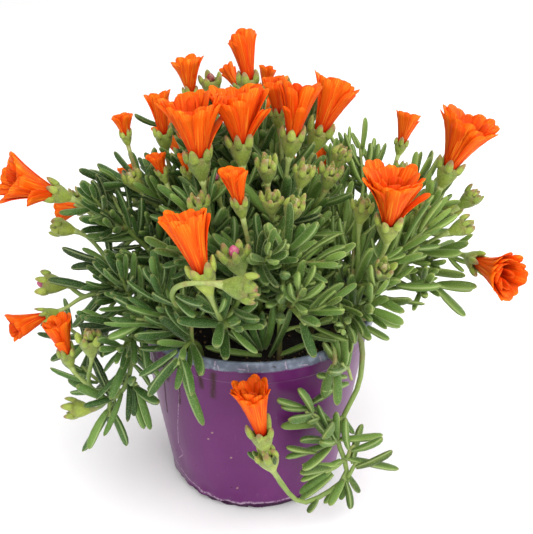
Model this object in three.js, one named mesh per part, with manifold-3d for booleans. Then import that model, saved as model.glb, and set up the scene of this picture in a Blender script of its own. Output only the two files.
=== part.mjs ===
// Potted trailing ice plant in full bloom: a plastic nursery pot, its soil, leafy stems and flowers.
// Millimetres, +Z up, origin at the centre of the pot's underside. The front of the plant faces -Y.

import * as THREE from 'three';
import { mergeVertices } from 'three/addons/utils/BufferGeometryUtils.js';
import Module from 'manifold-3d';

const wasm = await Module();
wasm.setup();

// Pot
const potHeight = 109;
const rimRadius = 65;
const lipHeight = 6;
const lipOverhang = 2.4;
const lipRound = 0.9;
const wallThickness = 1.5;
const shoulderHeight = 94.5;
const shoulderStep = 0.9;
const shoulderRise = 1.5;
const neckFlare = 0.2;
const cornerRadius = 48.4;
const cornerHeight = 5;
const innerCornerHeight = 7;
const footRadius = 45.5;
const footWidth = 4;
const padRadius = 16;
const footRecess = 3.6;
const floorTop = 5.4;
const roundSegments = 32;
const soilSegments = 16;
const drainHoles = 6;
const drainHoleRadius = 3.5;
const drainCircle = 29;
const drainSides = 6;
const footNotches = 6;
const notchWidth = 7;
const notchHeight = 2.2;
const cutterReach = 20;

// Soil
const fitGap = 0.3;
const soilEdgeHeight = 92;
const soilCrownHeight = 98;
const soilShoulderRadius = 36;
const soilShoulderHeight = 96.5;
const soilCornerHeight = 7.5;
const rootDepth = 8;
const rootRise = 3;
const rootHoleRadius = 3.3;
const rootHoleSides = 4;

// Stems
const stemRadius = 2;
const stemTipRadius = 1.5;
const stemSides = 4;
const spanSteps = 16;
const ringSpacing = 30;
const forkShare = 0.45;
const forkStep = 0.08;
const steepHeading = 0.9;

// Leaves: opposite pairs, each pair turned a quarter round the stem from the last
const leafLength = 27;
const leastLeafShare = 0.8;
const youngLeafShare = 0.8;
const leafWidth = 5.6;
const leafDepth = 4.4;
const leafIncurve = 0.12;
const leafFoot = 3;
const leafBellyAt = 0.28;
const leafShoulderAt = 0.8;
const leafShoulderShare = 0.86;
const pairSpacing = 16.5;
const bareFoot = 20;
const sideBareShare = 0.25;
const bareNeck = 24;
const tuftNeck = 3;
const fullTiltAt = 40;
const leafTilt = THREE.MathUtils.degToRad(52);
const tipLeafTilt = THREE.MathUtils.degToRad(32);
const bractLength = 12;
const bractWidth = 3.4;
const bractAt = 12;
const lowestLeaf = 20;
const leafStations = [0.25, 0.4, 0.55, 0.7, 0.85, 1];
const rootedShare = 0.5;
const turnTries = [0, 20, -20, 40, -40, 62].map((degrees) => THREE.MathUtils.degToRad(degrees));
const tiltTries = [0, -14, 14].map((degrees) => THREE.MathUtils.degToRad(degrees));
const sizeTries = [1, 0.78];

// Flowers
const calyxDepth = 10;
const calyxRadius = 5.4;
const leastCalyxScale = 0.5;
const fullBud = 11;
const fullBloom = 26;
const sepalLength = 10;
const sepalSpread = 0.5;
const sepalRidge = 1.2;
const budShare = 0.85;
const budTipRadius = 1.2;
const budRidge = 0.5;
const petalRidge = 1.3;
const petalJoinShare = 0.28;
const petalBellyAt = 0.68;
const petalWidthShare = 0.92;
const petalBend = 0.5;
const petalReach = { least: 0.9, range: 0.18 };
const petalFlare = { least: 0.86, range: 0.24 };
const outerPetals = { rise: 0, floorShare: 1, mouthShare: 1, reachShare: 1, bellied: true };
const innerPetals = { rise: 3.5, floorShare: 0.6, mouthShare: 0.5, reachShare: 0.75, bellied: false };
const corollaRootRadius = 2.6;
const largeBloom = 20;
const smallBloom = 13;
const petalCounts = { large: 8, middle: 7, small: 6, inner: 5 };

// Clearance between pieces that pass each other
const passGap = 0.5;
const cupBallAt = 0.4;
const budBallAt = 0.3;
const corollaBalls = { first: 0.1, last: 0.9, step: 0.15, wideShare: 0.55, sepalShare: 0.35 };

// Shared points that lie closer than this are one
const weldDistance = 1e-4;

// Random draws that come out the same every time
const leafSeed = 7;
const petalSeed = 11;
const drawFactor = 1664525;
const drawStep = 1013904223;
const drawRange = 4294967296;

const up = new THREE.Vector3(0, 0, 1);

function bloom(at, toward, long, wide) {
  return { kind: 'bloom', at, toward, long, wide };
}

function bud(at, toward, long = 9) {
  return { kind: 'bud', at, toward, long };
}

function tuft(at, toward) {
  return { kind: 'tuft', at, toward };
}

// Every stem: where it leaves the soil, the points it passes, which of them its side shoots leave from,
// its own end and then the ends of its side shoots
const stems = [
  {
    name: 'top',
    root: [0, 10],
    ends: [bloom([-2, 5, 226], [-3, 4, 23], 23, 14), bud([-21, 18, 222], [-1, 0, 10], 10)],
  },
  {
    name: 'top_left',
    root: [-16, 20],
    ends: [bloom([-31, 15, 217], [-2, 3, 16], 17, 15)],
  },
  {
    name: 'behind_top',
    root: [-4, 32],
    ends: [bloom([-9, 40, 212], [-5, 5, 8], 12, 8), bloom([6, 32, 213], [1, 2, 11], 12, 8)],
  },
  {
    name: 'left_shoulder',
    root: [-26, 8],
    ends: [bloom([-45, 10, 197], [-2, 2, 21], 21, 12)],
  },
  {
    name: 'left_outer',
    root: [-34, 18],
    ends: [
      bloom([-64, 10, 196], [-2, 2, 11], 11, 10),
      bloom([-68, 35, 157], [-3, 4, 12], 12, 9),
      bud([-79, 20, 170], [-2, 0, 10]),
    ],
  },
  {
    name: 'far_left',
    root: [-42, -2],
    ends: [
      bloom([-97, -20, 178], [-20, -5, 10], 23, 23),
      bloom([-92, 15, 153], [-12, 5, -2], 14, 12),
      tuft([-76, -8, 130], [-6, -2, 4]),
    ],
  },
  {
    name: 'big_left',
    root: [-14, -16],
    ends: [
      bloom([-24, -40, 204], [-4, 4, 26], 27, 27),
      bloom([-31, -24, 191], [-1, 1, 7], 8, 6),
      bloom([-43, -20, 188], [-3, 1, 9], 10, 9),
    ],
  },
  {
    name: 'big_centre',
    root: [-2, -14],
    ends: [bloom([-5, -30, 207], [-1, 4, 25], 25, 28), bud([-17, -36, 192], [-1, 0, 8])],
  },
  {
    name: 'centre_right',
    root: [10, 6],
    ends: [bloom([12, -4, 212], [-2, 4, 16], 17, 12), bud([14, 12, 220], [1, 0, 8])],
  },
  {
    name: 'big_right',
    root: [14, -18],
    ends: [
      bloom([19, -20, 207], [4, 3, 24], 25, 20),
      bud([7, -42, 201], [0, -1, 8]),
      bud([24, -34, 195], [2, -1, 9]),
    ],
  },
  {
    name: 'right_shoulder',
    root: [24, 2],
    ends: [
      bloom([33, 0, 202], [9, 5, 24], 26, 21),
      bud([43, -10, 194], [4, -1, 8]),
      bud([37, -25, 190], [2, -1, 8]),
    ],
  },
  {
    name: 'right_back',
    root: [32, 26],
    ends: [bloom([84, 70, 169], [4, 5, 16], 17, 15), bud([84, 55, 160], [3, 0, 8])],
  },
  {
    name: 'right_tall',
    root: [40, 6],
    ends: [
      bloom([98, 0, 183], [9, 4, 26], 27, 31),
      bud([112, 2, 166], [8, 0, 7]),
    ],
  },
  {
    name: 'right_open',
    root: [30, -22],
    ends: [
      bloom([63, -45, 174], [0, -4, 26], 26, 28),
      bud([60, -60, 158], [1, -4, 7]),
    ],
  },
  {
    name: 'right_end',
    root: [44, -12],
    ends: [
      bloom([116, -10, 134], [11, -25, 3], 27, 22),
      bud([104, -24, 162], [8, -1, 4]),
      tuft([98, -14, 122], [10, 0, -2]),
    ],
  },
  {
    name: 'centre_small',
    root: [4, -32],
    ends: [
      bloom([-5, -62, 191], [-3, 2, 15], 16, 12),
      bud([-24, -50, 186], [-1, -1, 9]),
      bud([19, -60, 190], [2, -1, 8]),
    ],
  },
  {
    name: 'centre_left',
    root: [-14, -38],
    ends: [
      bloom([-21, -85, 170], [-8, 3, 26], 27, 22),
      bud([-7, -80, 176], [-3, -1, 12], 12),
    ],
  },
  {
    name: 'front_arch',
    root: [-19, -31],
    via: [[-34, -72, 146], [-30, -90, 166]],
    bare: true,
    ends: [bud([-1, -95, 167], [12, -1, -2], 12)],
  },
  {
    name: 'lower_left_out',
    root: [-46, -14],
    via: [[-62, -17, 122], [-86, -20, 120]],
    forks: [2, 1, 1],
    ends: [
      bloom([-107, -25, 111], [-16, -8, -2], 18, 14),
      bud([-108, -14, 124], [-10, 0, 1], 11),
      bud([-100, -5, 152], [-8, 0, 2]),
      tuft([-90, -22, 88], [-6, -2, -5]),
    ],
  },
  {
    name: 'lower_left',
    root: [-38, -28],
    via: [[-55, -37, 118], [-63, -47, 88], [-72, -48, 76], [-82, -48, 83]],
    forks: [4, 3, 3, 2],
    ends: [
      bloom([-93, -45, 102], [-4, 2, 18], 19, 14),
      bud([-79, -53, 116], [0, -1, 12], 11),
      bud([-95, -38, 62], [-10, 2, -1], 10),
      tuft([-74, -52, 68], [-4, -1, -8]),
      tuft([-58, -54, 90], [1, -2, 8]),
    ],
  },
  {
    name: 'trailing_bloom',
    root: [39, -30],
    via: [
      [49, -44, 117],
      [54, -46, 88],
      [46, -51, 67],
      [43, -53, 54],
      [47, -53, 42],
      [48, -56, 32],
      [38, -62, 26],
      [25, -68, 25],
      [15, -72, 40],
    ],
    bare: true,
    forks: [3, 4, 4, 5, 5, 6, 6],
    ends: [
      bloom([4, -76, 77], [-5, 1, 27], 27, 18),
      tuft([26, -64, 80], [-6, -2, 4]),
      tuft([40, -58, 60], [-4, -2, 8]),
      tuft([37, -59, 55], [-8, -2, 1]),
      tuft([52, -56, 52], [9, -1, 1]),
      tuft([37, -60, 38], [-7, -2, -3]),
      tuft([55, -55, 40], [9, 0, -3]),
      tuft([46, -60, 28], [-2, -2, -8]),
    ],
  },
  {
    name: 'trailing_leaves',
    root: [28, -41],
    via: [[36, -54, 118], [46, -53, 100]],
    bare: true,
    forks: [2, 1],
    ends: [
      tuft([49, -51, 90], [2, 1, -6]),
      tuft([43, -60, 106], [-2, -2, 8]),
      tuft([38, -64, 104], [-3, -3, -5]),
    ],
  },
  {
    name: 'front_left',
    root: [-26, -42],
    ends: [tuft([-34, -76, 116], [-1, -6, -6]), tuft([-54, -62, 132], [-6, -5, 2])],
  },
  {
    name: 'front_centre',
    root: [13, -43],
    ends: [tuft([16, -72, 176], [1, -4, 8]), tuft([24, -76, 138], [3, -7, -1])],
  },
  {
    name: 'front_right',
    root: [44, -22],
    ends: [
      tuft([57, -56, 134], [3, -5, 2]),
      tuft([72, -36, 138], [5, -2, 4]),
      tuft([56, -36, 116], [2, -2, 1]),
    ],
  },
  {
    name: 'back_right',
    root: [22, 36],
    ends: [bloom([36, 74, 138], [4, 9, 20], 25, 20)],
  },
  {
    name: 'back_centre',
    root: [4, 44],
    ends: [bloom([8, 74, 170], [0, 12, 20], 26, 24), bud([24, 78, 154], [2, 5, 6])],
  },
  {
    name: 'back_left',
    root: [-24, 36],
    ends: [bloom([-42, 66, 164], [-8, 12, 16], 24, 20)],
  },
  {
    name: 'back_low',
    root: [-8, 48],
    ends: [
      bloom([14, 100, 132], [4, 20, 8], 24, 18),
      tuft([-26, 94, 120], [-2, 8, -1]),
    ],
  },
];

function seededDraws(seed) {
  let state = seed;
  return () => {
    state = (state * drawFactor + drawStep) % drawRange;
    return state / drawRange;
  };
}

function closedGeometry(points, triangles) {
  const geometry = new THREE.BufferGeometry();
  geometry.setAttribute('position', new THREE.Float32BufferAttribute(points.flatMap((p) => p.toArray()), 3));
  geometry.setIndex(triangles.flat());
  return geometry;
}

function solidOf(geometry) {
  geometry.deleteAttribute('normal');
  geometry.deleteAttribute('uv');
  const merged = mergeVertices(geometry, weldDistance);
  const mesh = new wasm.Mesh({
    numProp: 3,
    vertProperties: merged.attributes.position.array,
    triVerts: new Uint32Array(merged.index.array),
  });
  return new wasm.Manifold(mesh);
}

function geometryOf(solid) {
  const mesh = solid.getMesh();
  const geometry = new THREE.BufferGeometry();
  geometry.setAttribute('position', new THREE.BufferAttribute(mesh.vertProperties, 3));
  geometry.setIndex(new THREE.BufferAttribute(mesh.triVerts, 1));
  geometry.computeVertexNormals();
  return geometry;
}

// The largest body of a solid, without the hollows that joining has sealed in it
function filled(solid) {
  return solid.decompose().reduce((best, body) => (body.volume() > best.volume() ? body : best));
}

// The outer radius of the pot's straight wall at a height
function wallRadius(height) {
  const topRadius = rimRadius - lipOverhang - shoulderStep;
  return THREE.MathUtils.mapLinear(height, cornerHeight, shoulderHeight, cornerRadius, topRadius);
}

function soilTop(radius) {
  const edgeRadius = wallRadius(soilEdgeHeight) - wallThickness - fitGap;
  if (radius < soilShoulderRadius) {
    return THREE.MathUtils.mapLinear(radius, 0, soilShoulderRadius, soilCrownHeight, soilShoulderHeight);
  }
  const share = (radius - soilShoulderRadius) / (edgeRadius - soilShoulderRadius);
  return THREE.MathUtils.lerp(soilShoulderHeight, soilEdgeHeight, share);
}

function lathed(profile, segments) {
  const points = profile.map(([radius, height]) => new THREE.Vector2(radius, height));
  return new THREE.LatheGeometry(points, segments).rotateX(Math.PI / 2);
}

function potGeometry() {
  const neckRadius = rimRadius - lipOverhang;
  const lipFoot = potHeight - lipHeight;
  let pot = solidOf(lathed([
    [0, 0],
    [padRadius, 0],
    [padRadius + 1, footRecess],
    [footRadius - footWidth - 1, footRecess],
    [footRadius - footWidth, 0],
    [footRadius, 0],
    [footRadius + 1, cornerHeight / 2],
    [cornerRadius, cornerHeight],
    [wallRadius(shoulderHeight), shoulderHeight],
    [neckRadius, shoulderHeight + shoulderRise],
    [neckRadius + neckFlare, lipFoot],
    [rimRadius - neckFlare, lipFoot],
    [rimRadius, lipFoot + lipRound],
    [rimRadius, potHeight - lipRound],
    [rimRadius - lipRound, potHeight],
    [neckRadius, potHeight],
    [neckRadius - wallThickness, potHeight - 2 * lipRound],
    [wallRadius(shoulderHeight) - wallThickness, shoulderHeight],
    [wallRadius(cornerHeight) - wallThickness, innerCornerHeight],
    [footRadius - 1, floorTop],
    [0, floorTop],
  ], roundSegments));
  for (let i = 0; i < drainHoles; i += 1) {
    const turn = (2 * Math.PI * i) / drainHoles;
    const hole = new THREE.CylinderGeometry(drainHoleRadius, drainHoleRadius, cutterReach, drainSides);
    hole.rotateX(Math.PI / 2).translate(drainCircle, 0, 0).rotateZ(turn);
    pot = pot.subtract(solidOf(hole));
  }
  for (let i = 0; i < footNotches; i += 1) {
    const turn = (2 * Math.PI * (i + 0.5)) / footNotches;
    const notch = new THREE.BoxGeometry(cutterReach, notchWidth, 2 * notchHeight);
    notch.translate(footRadius - footWidth / 2, 0, 0).rotateZ(turn);
    pot = pot.subtract(solidOf(notch));
  }
  return geometryOf(pot);
}

function soilGeometry() {
  const edgeRadius = wallRadius(soilEdgeHeight) - wallThickness - fitGap;
  const bottom = floorTop + fitGap;
  let soil = solidOf(lathed([
    [0, bottom],
    [footRadius - 1 - 2 * fitGap, bottom],
    [wallRadius(cornerHeight) - wallThickness - fitGap, soilCornerHeight],
    [edgeRadius, soilEdgeHeight],
    [soilShoulderRadius, soilShoulderHeight],
    [0, soilCrownHeight],
  ], soilSegments));
  for (const stem of stems) {
    const [x, y] = stem.root;
    const top = soilTop(Math.hypot(x, y));
    const depth = rootDepth + fitGap;
    const hole = new THREE.CylinderGeometry(rootHoleRadius, rootHoleRadius, 2 * depth, rootHoleSides);
    hole.rotateX(Math.PI / 2).translate(x, y, top);
    soil = soil.subtract(solidOf(hole));
  }
  return geometryOf(soil);
}

// A smooth run through knots with a given heading at each end
function runThrough(knots, startHeading, endHeading) {
  const points = [];
  for (let span = 0; span < knots.length - 1; span += 1) {
    const from = knots[span];
    const to = knots[span + 1];
    const reach = from.distanceTo(to);
    const leave = span === 0
      ? startHeading.clone().normalize().multiplyScalar(reach)
      : to.clone().sub(knots[span - 1]).normalize().multiplyScalar(reach);
    const arrive = span === knots.length - 2
      ? endHeading.clone().normalize().multiplyScalar(reach)
      : knots[span + 2].clone().sub(from).normalize().multiplyScalar(reach);
    for (let i = span === 0 ? 0 : 1; i <= spanSteps; i += 1) {
      const t = i / spanSteps;
      const point = from.clone().multiplyScalar((1 + 2 * t) * (1 - t) * (1 - t));
      point.addScaledVector(leave, t * (1 - t) * (1 - t));
      point.addScaledVector(to, t * t * (3 - 2 * t));
      point.addScaledVector(arrive, t * t * (t - 1));
      points.push(point);
    }
  }
  return points;
}

// A run of points with the heading and side direction at each, carried along without twist
function trackOf(points) {
  const track = [];
  let side = null;
  let distance = 0;
  for (let i = 0; i < points.length; i += 1) {
    const before = points[Math.max(0, i - 1)];
    const after = points[Math.min(points.length - 1, i + 1)];
    const heading = after.clone().sub(before).normalize();
    if (side === null) {
      const helper = Math.abs(heading.z) < steepHeading ? up : new THREE.Vector3(1, 0, 0);
      side = new THREE.Vector3().crossVectors(helper, heading);
    } else {
      distance += points[i].distanceTo(points[i - 1]);
    }
    side = side.clone().addScaledVector(heading, -side.dot(heading)).normalize();
    track.push({ point: points[i], heading, side, distance });
  }
  return track;
}

function lengthOf(track) {
  return track[track.length - 1].distance;
}

function placeAt(track, distance) {
  const reached = track.findIndex((mark, i) => mark.distance >= distance || i === track.length - 1);
  const next = Math.max(1, reached);
  const a = track[next - 1];
  const b = track[next];
  const share = (distance - a.distance) / (b.distance - a.distance);
  const point = a.point.clone().lerp(b.point, share);
  const heading = a.heading.clone().lerp(b.heading, share).normalize();
  const side = a.side.clone().lerp(b.side, share);
  side.addScaledVector(heading, -side.dot(heading)).normalize();
  return { point, heading, side, across: new THREE.Vector3().crossVectors(heading, side) };
}

function leafPoint(leaf, t) {
  return leaf.root.clone()
    .addScaledVector(leaf.along, leaf.length * t)
    .addScaledVector(leaf.face, leaf.length * leafIncurve * t * t);
}

// The three corners of a leaf's section: its keel, then its two edges
function leafSection(leaf, t, share) {
  const side = new THREE.Vector3().crossVectors(leaf.face, leaf.along);
  const centre = leafPoint(leaf, t);
  const half = (leaf.width * share) / 2;
  const rise = (leafDepth * leaf.width * share) / leafWidth / 3;
  return [
    centre.clone().addScaledVector(leaf.face, -2 * rise),
    centre.clone().addScaledVector(side, half).addScaledVector(leaf.face, rise),
    centre.clone().addScaledVector(side, -half).addScaledVector(leaf.face, rise),
  ];
}

function addPoints(mesh, points) {
  const first = mesh.points.length;
  mesh.points.push(...points);
  return points.map((_, i) => first + i);
}

// A leaf grows out of one face of its stem, whose corners run lower two, then upper two
function addLeaf(mesh, leaf, [lowLeft, lowRight, highRight, highLeft]) {
  const [keel, right, left] = addPoints(mesh, leafSection(leaf, leafBellyAt, 1));
  mesh.triangles.push(
    [lowLeft, lowRight, keel],
    [lowRight, right, keel],
    [lowRight, highRight, right],
    [highRight, highLeft, left],
    [highRight, left, right],
    [highLeft, lowLeft, left],
    [lowLeft, keel, left],
  );
  const belly = [keel, right, left];
  const shoulder = addPoints(mesh, leafSection(leaf, leafShoulderAt, leafShoulderShare));
  const [tip] = addPoints(mesh, [leafPoint(leaf, 1)]);
  addBand(mesh, belly, shoulder);
  for (let i = 0; i < 3; i += 1) {
    mesh.triangles.push([shoulder[i], shoulder[(i + 1) % 3], tip]);
  }
}

// The skin between two rings of the same count, but for the faces that are left open
function addBand(mesh, lower, upper, open = []) {
  lower.forEach((a, i) => {
    const next = (i + 1) % lower.length;
    if (!open.includes(i)) {
      mesh.triangles.push([a, lower[next], upper[next]], [a, upper[next], upper[i]]);
    }
  });
}

function addCap(mesh, ring) {
  for (let i = 1; i < ring.length - 1; i += 1) {
    mesh.triangles.push([ring[0], ring[i], ring[i + 1]]);
  }
}

function stemRing(place, radius) {
  return Array.from({ length: stemSides }, (_, k) => {
    const turn = (2 * Math.PI * (k + 0.5)) / stemSides;
    return place.point.clone()
      .addScaledVector(place.side, radius * Math.cos(turn))
      .addScaledVector(place.across, radius * Math.sin(turn));
  });
}

// Blades side by side round a cup: the sepals of a calyx, or a ring of petals
function addCrown(mesh, foot, shape) {
  const count = foot.length;
  const place = (turn, radius, height) => shape.origin.clone()
    .addScaledVector(shape.side, radius * Math.cos(turn))
    .addScaledVector(shape.across, radius * Math.sin(turn))
    .addScaledVector(shape.heading, height);
  const turnOf = (k) => (2 * Math.PI * (k + 0.5)) / count;
  const floor = addPoints(mesh, foot.map((_, k) => place(turnOf(k), shape.floorRadius, shape.floorHeight)));
  addCap(mesh, floor);
  shape.blades.forEach((blade, k) => {
    const next = (k + 1) % count;
    const middle = turnOf(k + 0.5);
    const flat = shape.floorRadius * Math.cos(Math.PI / count);
    const [ridge] = addPoints(mesh, [place(middle, flat + shape.ridge, shape.floorHeight)]);
    let edge = [floor[k], ridge, floor[next]];
    mesh.triangles.push(
      [foot[k], foot[next], ridge],
      [foot[k], ridge, floor[k]],
      [foot[next], floor[next], ridge],
    );
    for (const level of blade.levels) {
      const lean = Math.atan2(level.width / 2, level.radius);
      const reach = Math.hypot(level.width / 2, level.radius);
      const nextEdge = addPoints(mesh, [
        place(middle - lean, reach, level.height),
        place(middle, level.radius + shape.ridge, level.height),
        place(middle + lean, reach, level.height),
      ]);
      addBand(mesh, edge, nextEdge);
      edge = nextEdge;
    }
    const [tip] = addPoints(mesh, [place(middle, blade.tip.radius, blade.tip.height)]);
    mesh.triangles.push([edge[0], edge[1], tip], [edge[1], edge[2], tip], [edge[2], edge[0], tip]);
  });
}

function vector(numbers) {
  return new THREE.Vector3(...numbers);
}

// How large the green cup of an end is, against a full-grown flower's
function calyxScale(end) {
  if (end.kind === 'bud') {
    return Math.min(1, end.long / fullBud);
  }
  return THREE.MathUtils.clamp(end.long / fullBloom, leastCalyxScale, 1);
}

function addCalyx(mesh, foot, end, place) {
  const heading = vector(end.toward).normalize();
  const side = place.side.clone().addScaledVector(heading, -place.side.dot(heading)).normalize();
  const scale = calyxScale(end);
  const closed = end.kind === 'bud';
  const tipRadius = closed ? budTipRadius : (calyxRadius + sepalLength * sepalSpread) * scale;
  const long = closed ? end.long : sepalLength * scale;
  addCrown(mesh, foot, {
    origin: place.point,
    heading,
    side,
    across: new THREE.Vector3().crossVectors(heading, side),
    floorRadius: calyxRadius * scale * (closed ? budShare : 1),
    floorHeight: calyxDepth * scale,
    ridge: closed ? budRidge : sepalRidge * scale,
    blades: foot.map(() => ({ levels: [], tip: { radius: tipRadius, height: calyxDepth * scale + long } })),
  });
}

// One ring of petals of a flower, which stands on a point a little above its calyx cup's floor
function corollaRing(end, foot, count, ring, draw) {
  const { rise, floorShare, mouthShare, reachShare, bellied } = ring;
  const heading = vector(end.toward).normalize();
  const side = new THREE.Vector3().crossVectors(heading, up).normalize();
  const across = new THREE.Vector3().crossVectors(heading, side);
  const origin = foot.clone().addScaledVector(heading, rise);
  const scale = calyxScale(end);
  const mouth = end.wide / 2;
  const floorHeight = end.long * petalJoinShare;
  const floorRadius = THREE.MathUtils.lerp(corollaRootRadius * scale, mouth, petalJoinShare) * floorShare;
  const mesh = { points: [], triangles: [] };
  const root = addPoints(mesh, Array.from({ length: count }, (_, k) => {
    const turn = (2 * Math.PI * (k + 0.5)) / count;
    const radius = corollaRootRadius * scale * floorShare;
    return origin.clone()
      .addScaledVector(side, radius * Math.cos(turn))
      .addScaledVector(across, radius * Math.sin(turn));
  }));
  addCap(mesh, [...root].reverse());
  const blades = root.map(() => {
    const reach = end.long * reachShare * (petalReach.least + petalReach.range * draw());
    const spread = mouth * mouthShare * (petalFlare.least + petalFlare.range * draw());
    const radius = THREE.MathUtils.lerp(floorRadius, spread, petalBend);
    const width = 2 * radius * Math.tan(Math.PI / count) * petalWidthShare;
    const levels = bellied ? [{ radius, height: reach * petalBellyAt, width }] : [];
    return { levels, tip: { radius: spread, height: reach } };
  });
  const ridge = petalRidge * scale;
  addCrown(mesh, root, { origin, heading, side, across, floorRadius, floorHeight, ridge, blades });
  return solidOf(closedGeometry(mesh.points, mesh.triangles));
}

function petalCount(end) {
  if (end.long > largeBloom) {
    return petalCounts.large;
  }
  return end.long > smallBloom ? petalCounts.middle : petalCounts.small;
}

function corollaGeometry(end, draw) {
  const large = end.long > largeBloom;
  const foot = vector(end.at).addScaledVector(vector(end.toward).normalize(), fitGap);
  const outer = corollaRing(end, foot, petalCount(end), outerPetals, draw);
  if (!large) {
    return geometryOf(outer);
  }
  return geometryOf(outer.add(corollaRing(end, foot, petalCounts.inner, innerPetals, draw)));
}

// Balls that stand for the room each piece takes up
const taken = [];

function take(centre, radius, owner) {
  taken.push({ centre, radius, owner });
}

function takeRun(track, owner) {
  for (let distance = 0; distance < lengthOf(track); distance += stemRadius) {
    take(placeAt(track, distance).point, stemRadius, owner);
  }
}

function takeEnd(end, owner) {
  if (end.kind === 'tuft') {
    return;
  }
  const toward = vector(end.toward).normalize();
  const scale = calyxScale(end);
  const at = vector(end.at);
  take(at.clone().addScaledVector(toward, -calyxDepth * scale * cupBallAt), calyxRadius * scale, owner);
  if (end.kind === 'bud') {
    take(at.clone().addScaledVector(toward, end.long * budBallAt), calyxRadius * scale, owner);
    return;
  }
  const sepals = (calyxRadius + sepalLength * corollaBalls.sepalShare) * scale;
  for (let share = corollaBalls.first; share < corollaBalls.last; share += corollaBalls.step) {
    const reach = Math.max(end.wide * share * corollaBalls.wideShare, sepals);
    take(at.clone().addScaledVector(toward, end.long * share), reach, `${owner}_petals`);
  }
}

function clearOfPot(point, radius) {
  const room = radius + passGap;
  const out = Math.hypot(point.x, point.y);
  if (point.z < Math.max(room, lowestLeaf)) {
    return false;
  }
  if (point.z > potHeight + room) {
    return true;
  }
  const skin = point.z > shoulderHeight - room ? rimRadius : wallRadius(point.z);
  if (out > skin + room) {
    return true;
  }
  return out < wallRadius(soilEdgeHeight) - wallThickness - room && point.z > soilTop(out) + room;
}

function leafIsClear(leaf, owner) {
  const radius = leaf.width / 2;
  return leafStations.every((t) => {
    const point = leafPoint(leaf, t);
    if (!clearOfPot(point, radius)) {
      return false;
    }
    return taken.every((ball) => {
      const room = radius + ball.radius + passGap;
      if (ball.owner === owner && t < rootedShare) {
        return true;
      }
      return ball.centre.distanceToSquared(point) > room * room;
    });
  });
}

// A leaf at a place on a stem, bent clear of what is already there, or none
function placeLeaf(place, turn, tilt, length, width, owner) {
  for (const size of sizeTries) {
    for (const tiltMore of tiltTries) {
      for (const turnMore of turnTries) {
        const outward = place.side.clone().multiplyScalar(Math.cos(turn + turnMore));
        outward.addScaledVector(place.across, Math.sin(turn + turnMore));
        const along = place.heading.clone().multiplyScalar(Math.cos(tilt + tiltMore));
        along.addScaledVector(outward, Math.sin(tilt + tiltMore));
        const face = place.heading.clone().addScaledVector(along, -place.heading.dot(along)).normalize();
        const root = place.point.clone().addScaledVector(outward, stemTipRadius * Math.SQRT1_2);
        const leaf = { root, along, face, length: length * size, width };
        if (leafIsClear(leaf, owner)) {
          for (const t of leafStations) {
            take(leafPoint(leaf, t), width / 2, owner);
          }
          return leaf;
        }
      }
    }
  }
  return null;
}

// How far up a stem a side shoot leaves it: at a named point that the stem passes, or by rule
function forkDistance(stem, main, order) {
  if (stem.forks) {
    return main[1 + stem.forks[order - 1] * spanSteps].distance;
  }
  return lengthOf(main) * (forkShare + forkStep * order);
}

// The runs of one stem: its own and those of its side shoots
function runsOf(stem) {
  const [x, y] = stem.root;
  const top = soilTop(Math.hypot(x, y));
  const foot = new THREE.Vector3(x, y, top - rootDepth);
  const start = new THREE.Vector3(x, y, top + rootRise);
  const runs = [];
  for (const end of stem.ends) {
    const heading = vector(end.toward).normalize();
    const neck = end.kind === 'tuft' ? 0 : calyxDepth * calyxScale(end);
    const goal = vector(end.at).addScaledVector(heading, -neck);
    if (runs.length === 0) {
      const knots = [start, ...(stem.via ?? []).map(vector), goal];
      const track = trackOf([foot, ...runThrough(knots, up, heading)]);
      const bends = stem.forks ? stem.via.map((_, i) => track[1 + (i + 1) * spanSteps].distance) : [];
      runs.push({ end, main: true, bare: stem.bare === true, bends, track });
    } else {
      const main = runs[0].track;
      const fork = placeAt(main, forkDistance(stem, main, runs.length));
      const leave = goal.clone().sub(fork.point).normalize().add(fork.heading);
      const track = trackOf(runThrough([fork.point, goal], leave, heading));
      runs.push({ end, main: false, bare: false, bends: [], track });
    }
  }
  return runs;
}

// The pairs of leaves along a run, from its end back to its foot
function pairsOf(run, owner, draw) {
  const pairs = [];
  const length = lengthOf(run.track);
  const bareEnd = run.end.kind === 'tuft' ? tuftNeck : bareNeck;
  const bareStart = run.main ? bareFoot + rootDepth : sideBareShare * length;
  const addPair = (back, tilt, long, width) => {
    const place = placeAt(run.track, length - back);
    const faces = pairs.length % 2 === 0 ? [0, 2] : [1, 3];
    const leaves = faces.map((face) => {
      const turn = (2 * Math.PI * (face + 1)) / stemSides;
      return { face, leaf: placeLeaf(place, turn, tilt, long, width, owner) };
    });
    pairs.push({ distance: length - back, leaves: leaves.filter(({ leaf }) => leaf !== null) });
  };
  if (run.end.kind === 'bloom' && run.end.long > largeBloom && length > 2 * bareNeck) {
    addPair(bractAt, tipLeafTilt, bractLength, bractWidth);
  }
  for (let back = bareEnd; back < length - bareStart && !run.bare; back += pairSpacing) {
    const lean = Math.min(1, back / fullTiltAt);
    const growth = back < pairSpacing / 2 ? youngLeafShare : 1;
    const long = leafLength * growth * THREE.MathUtils.lerp(leastLeafShare, 1, draw());
    addPair(back, THREE.MathUtils.lerp(tipLeafTilt, leafTilt, lean), long, leafWidth);
  }
  return pairs.filter((pair) => pair.leaves.length > 0).reverse();
}

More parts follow.
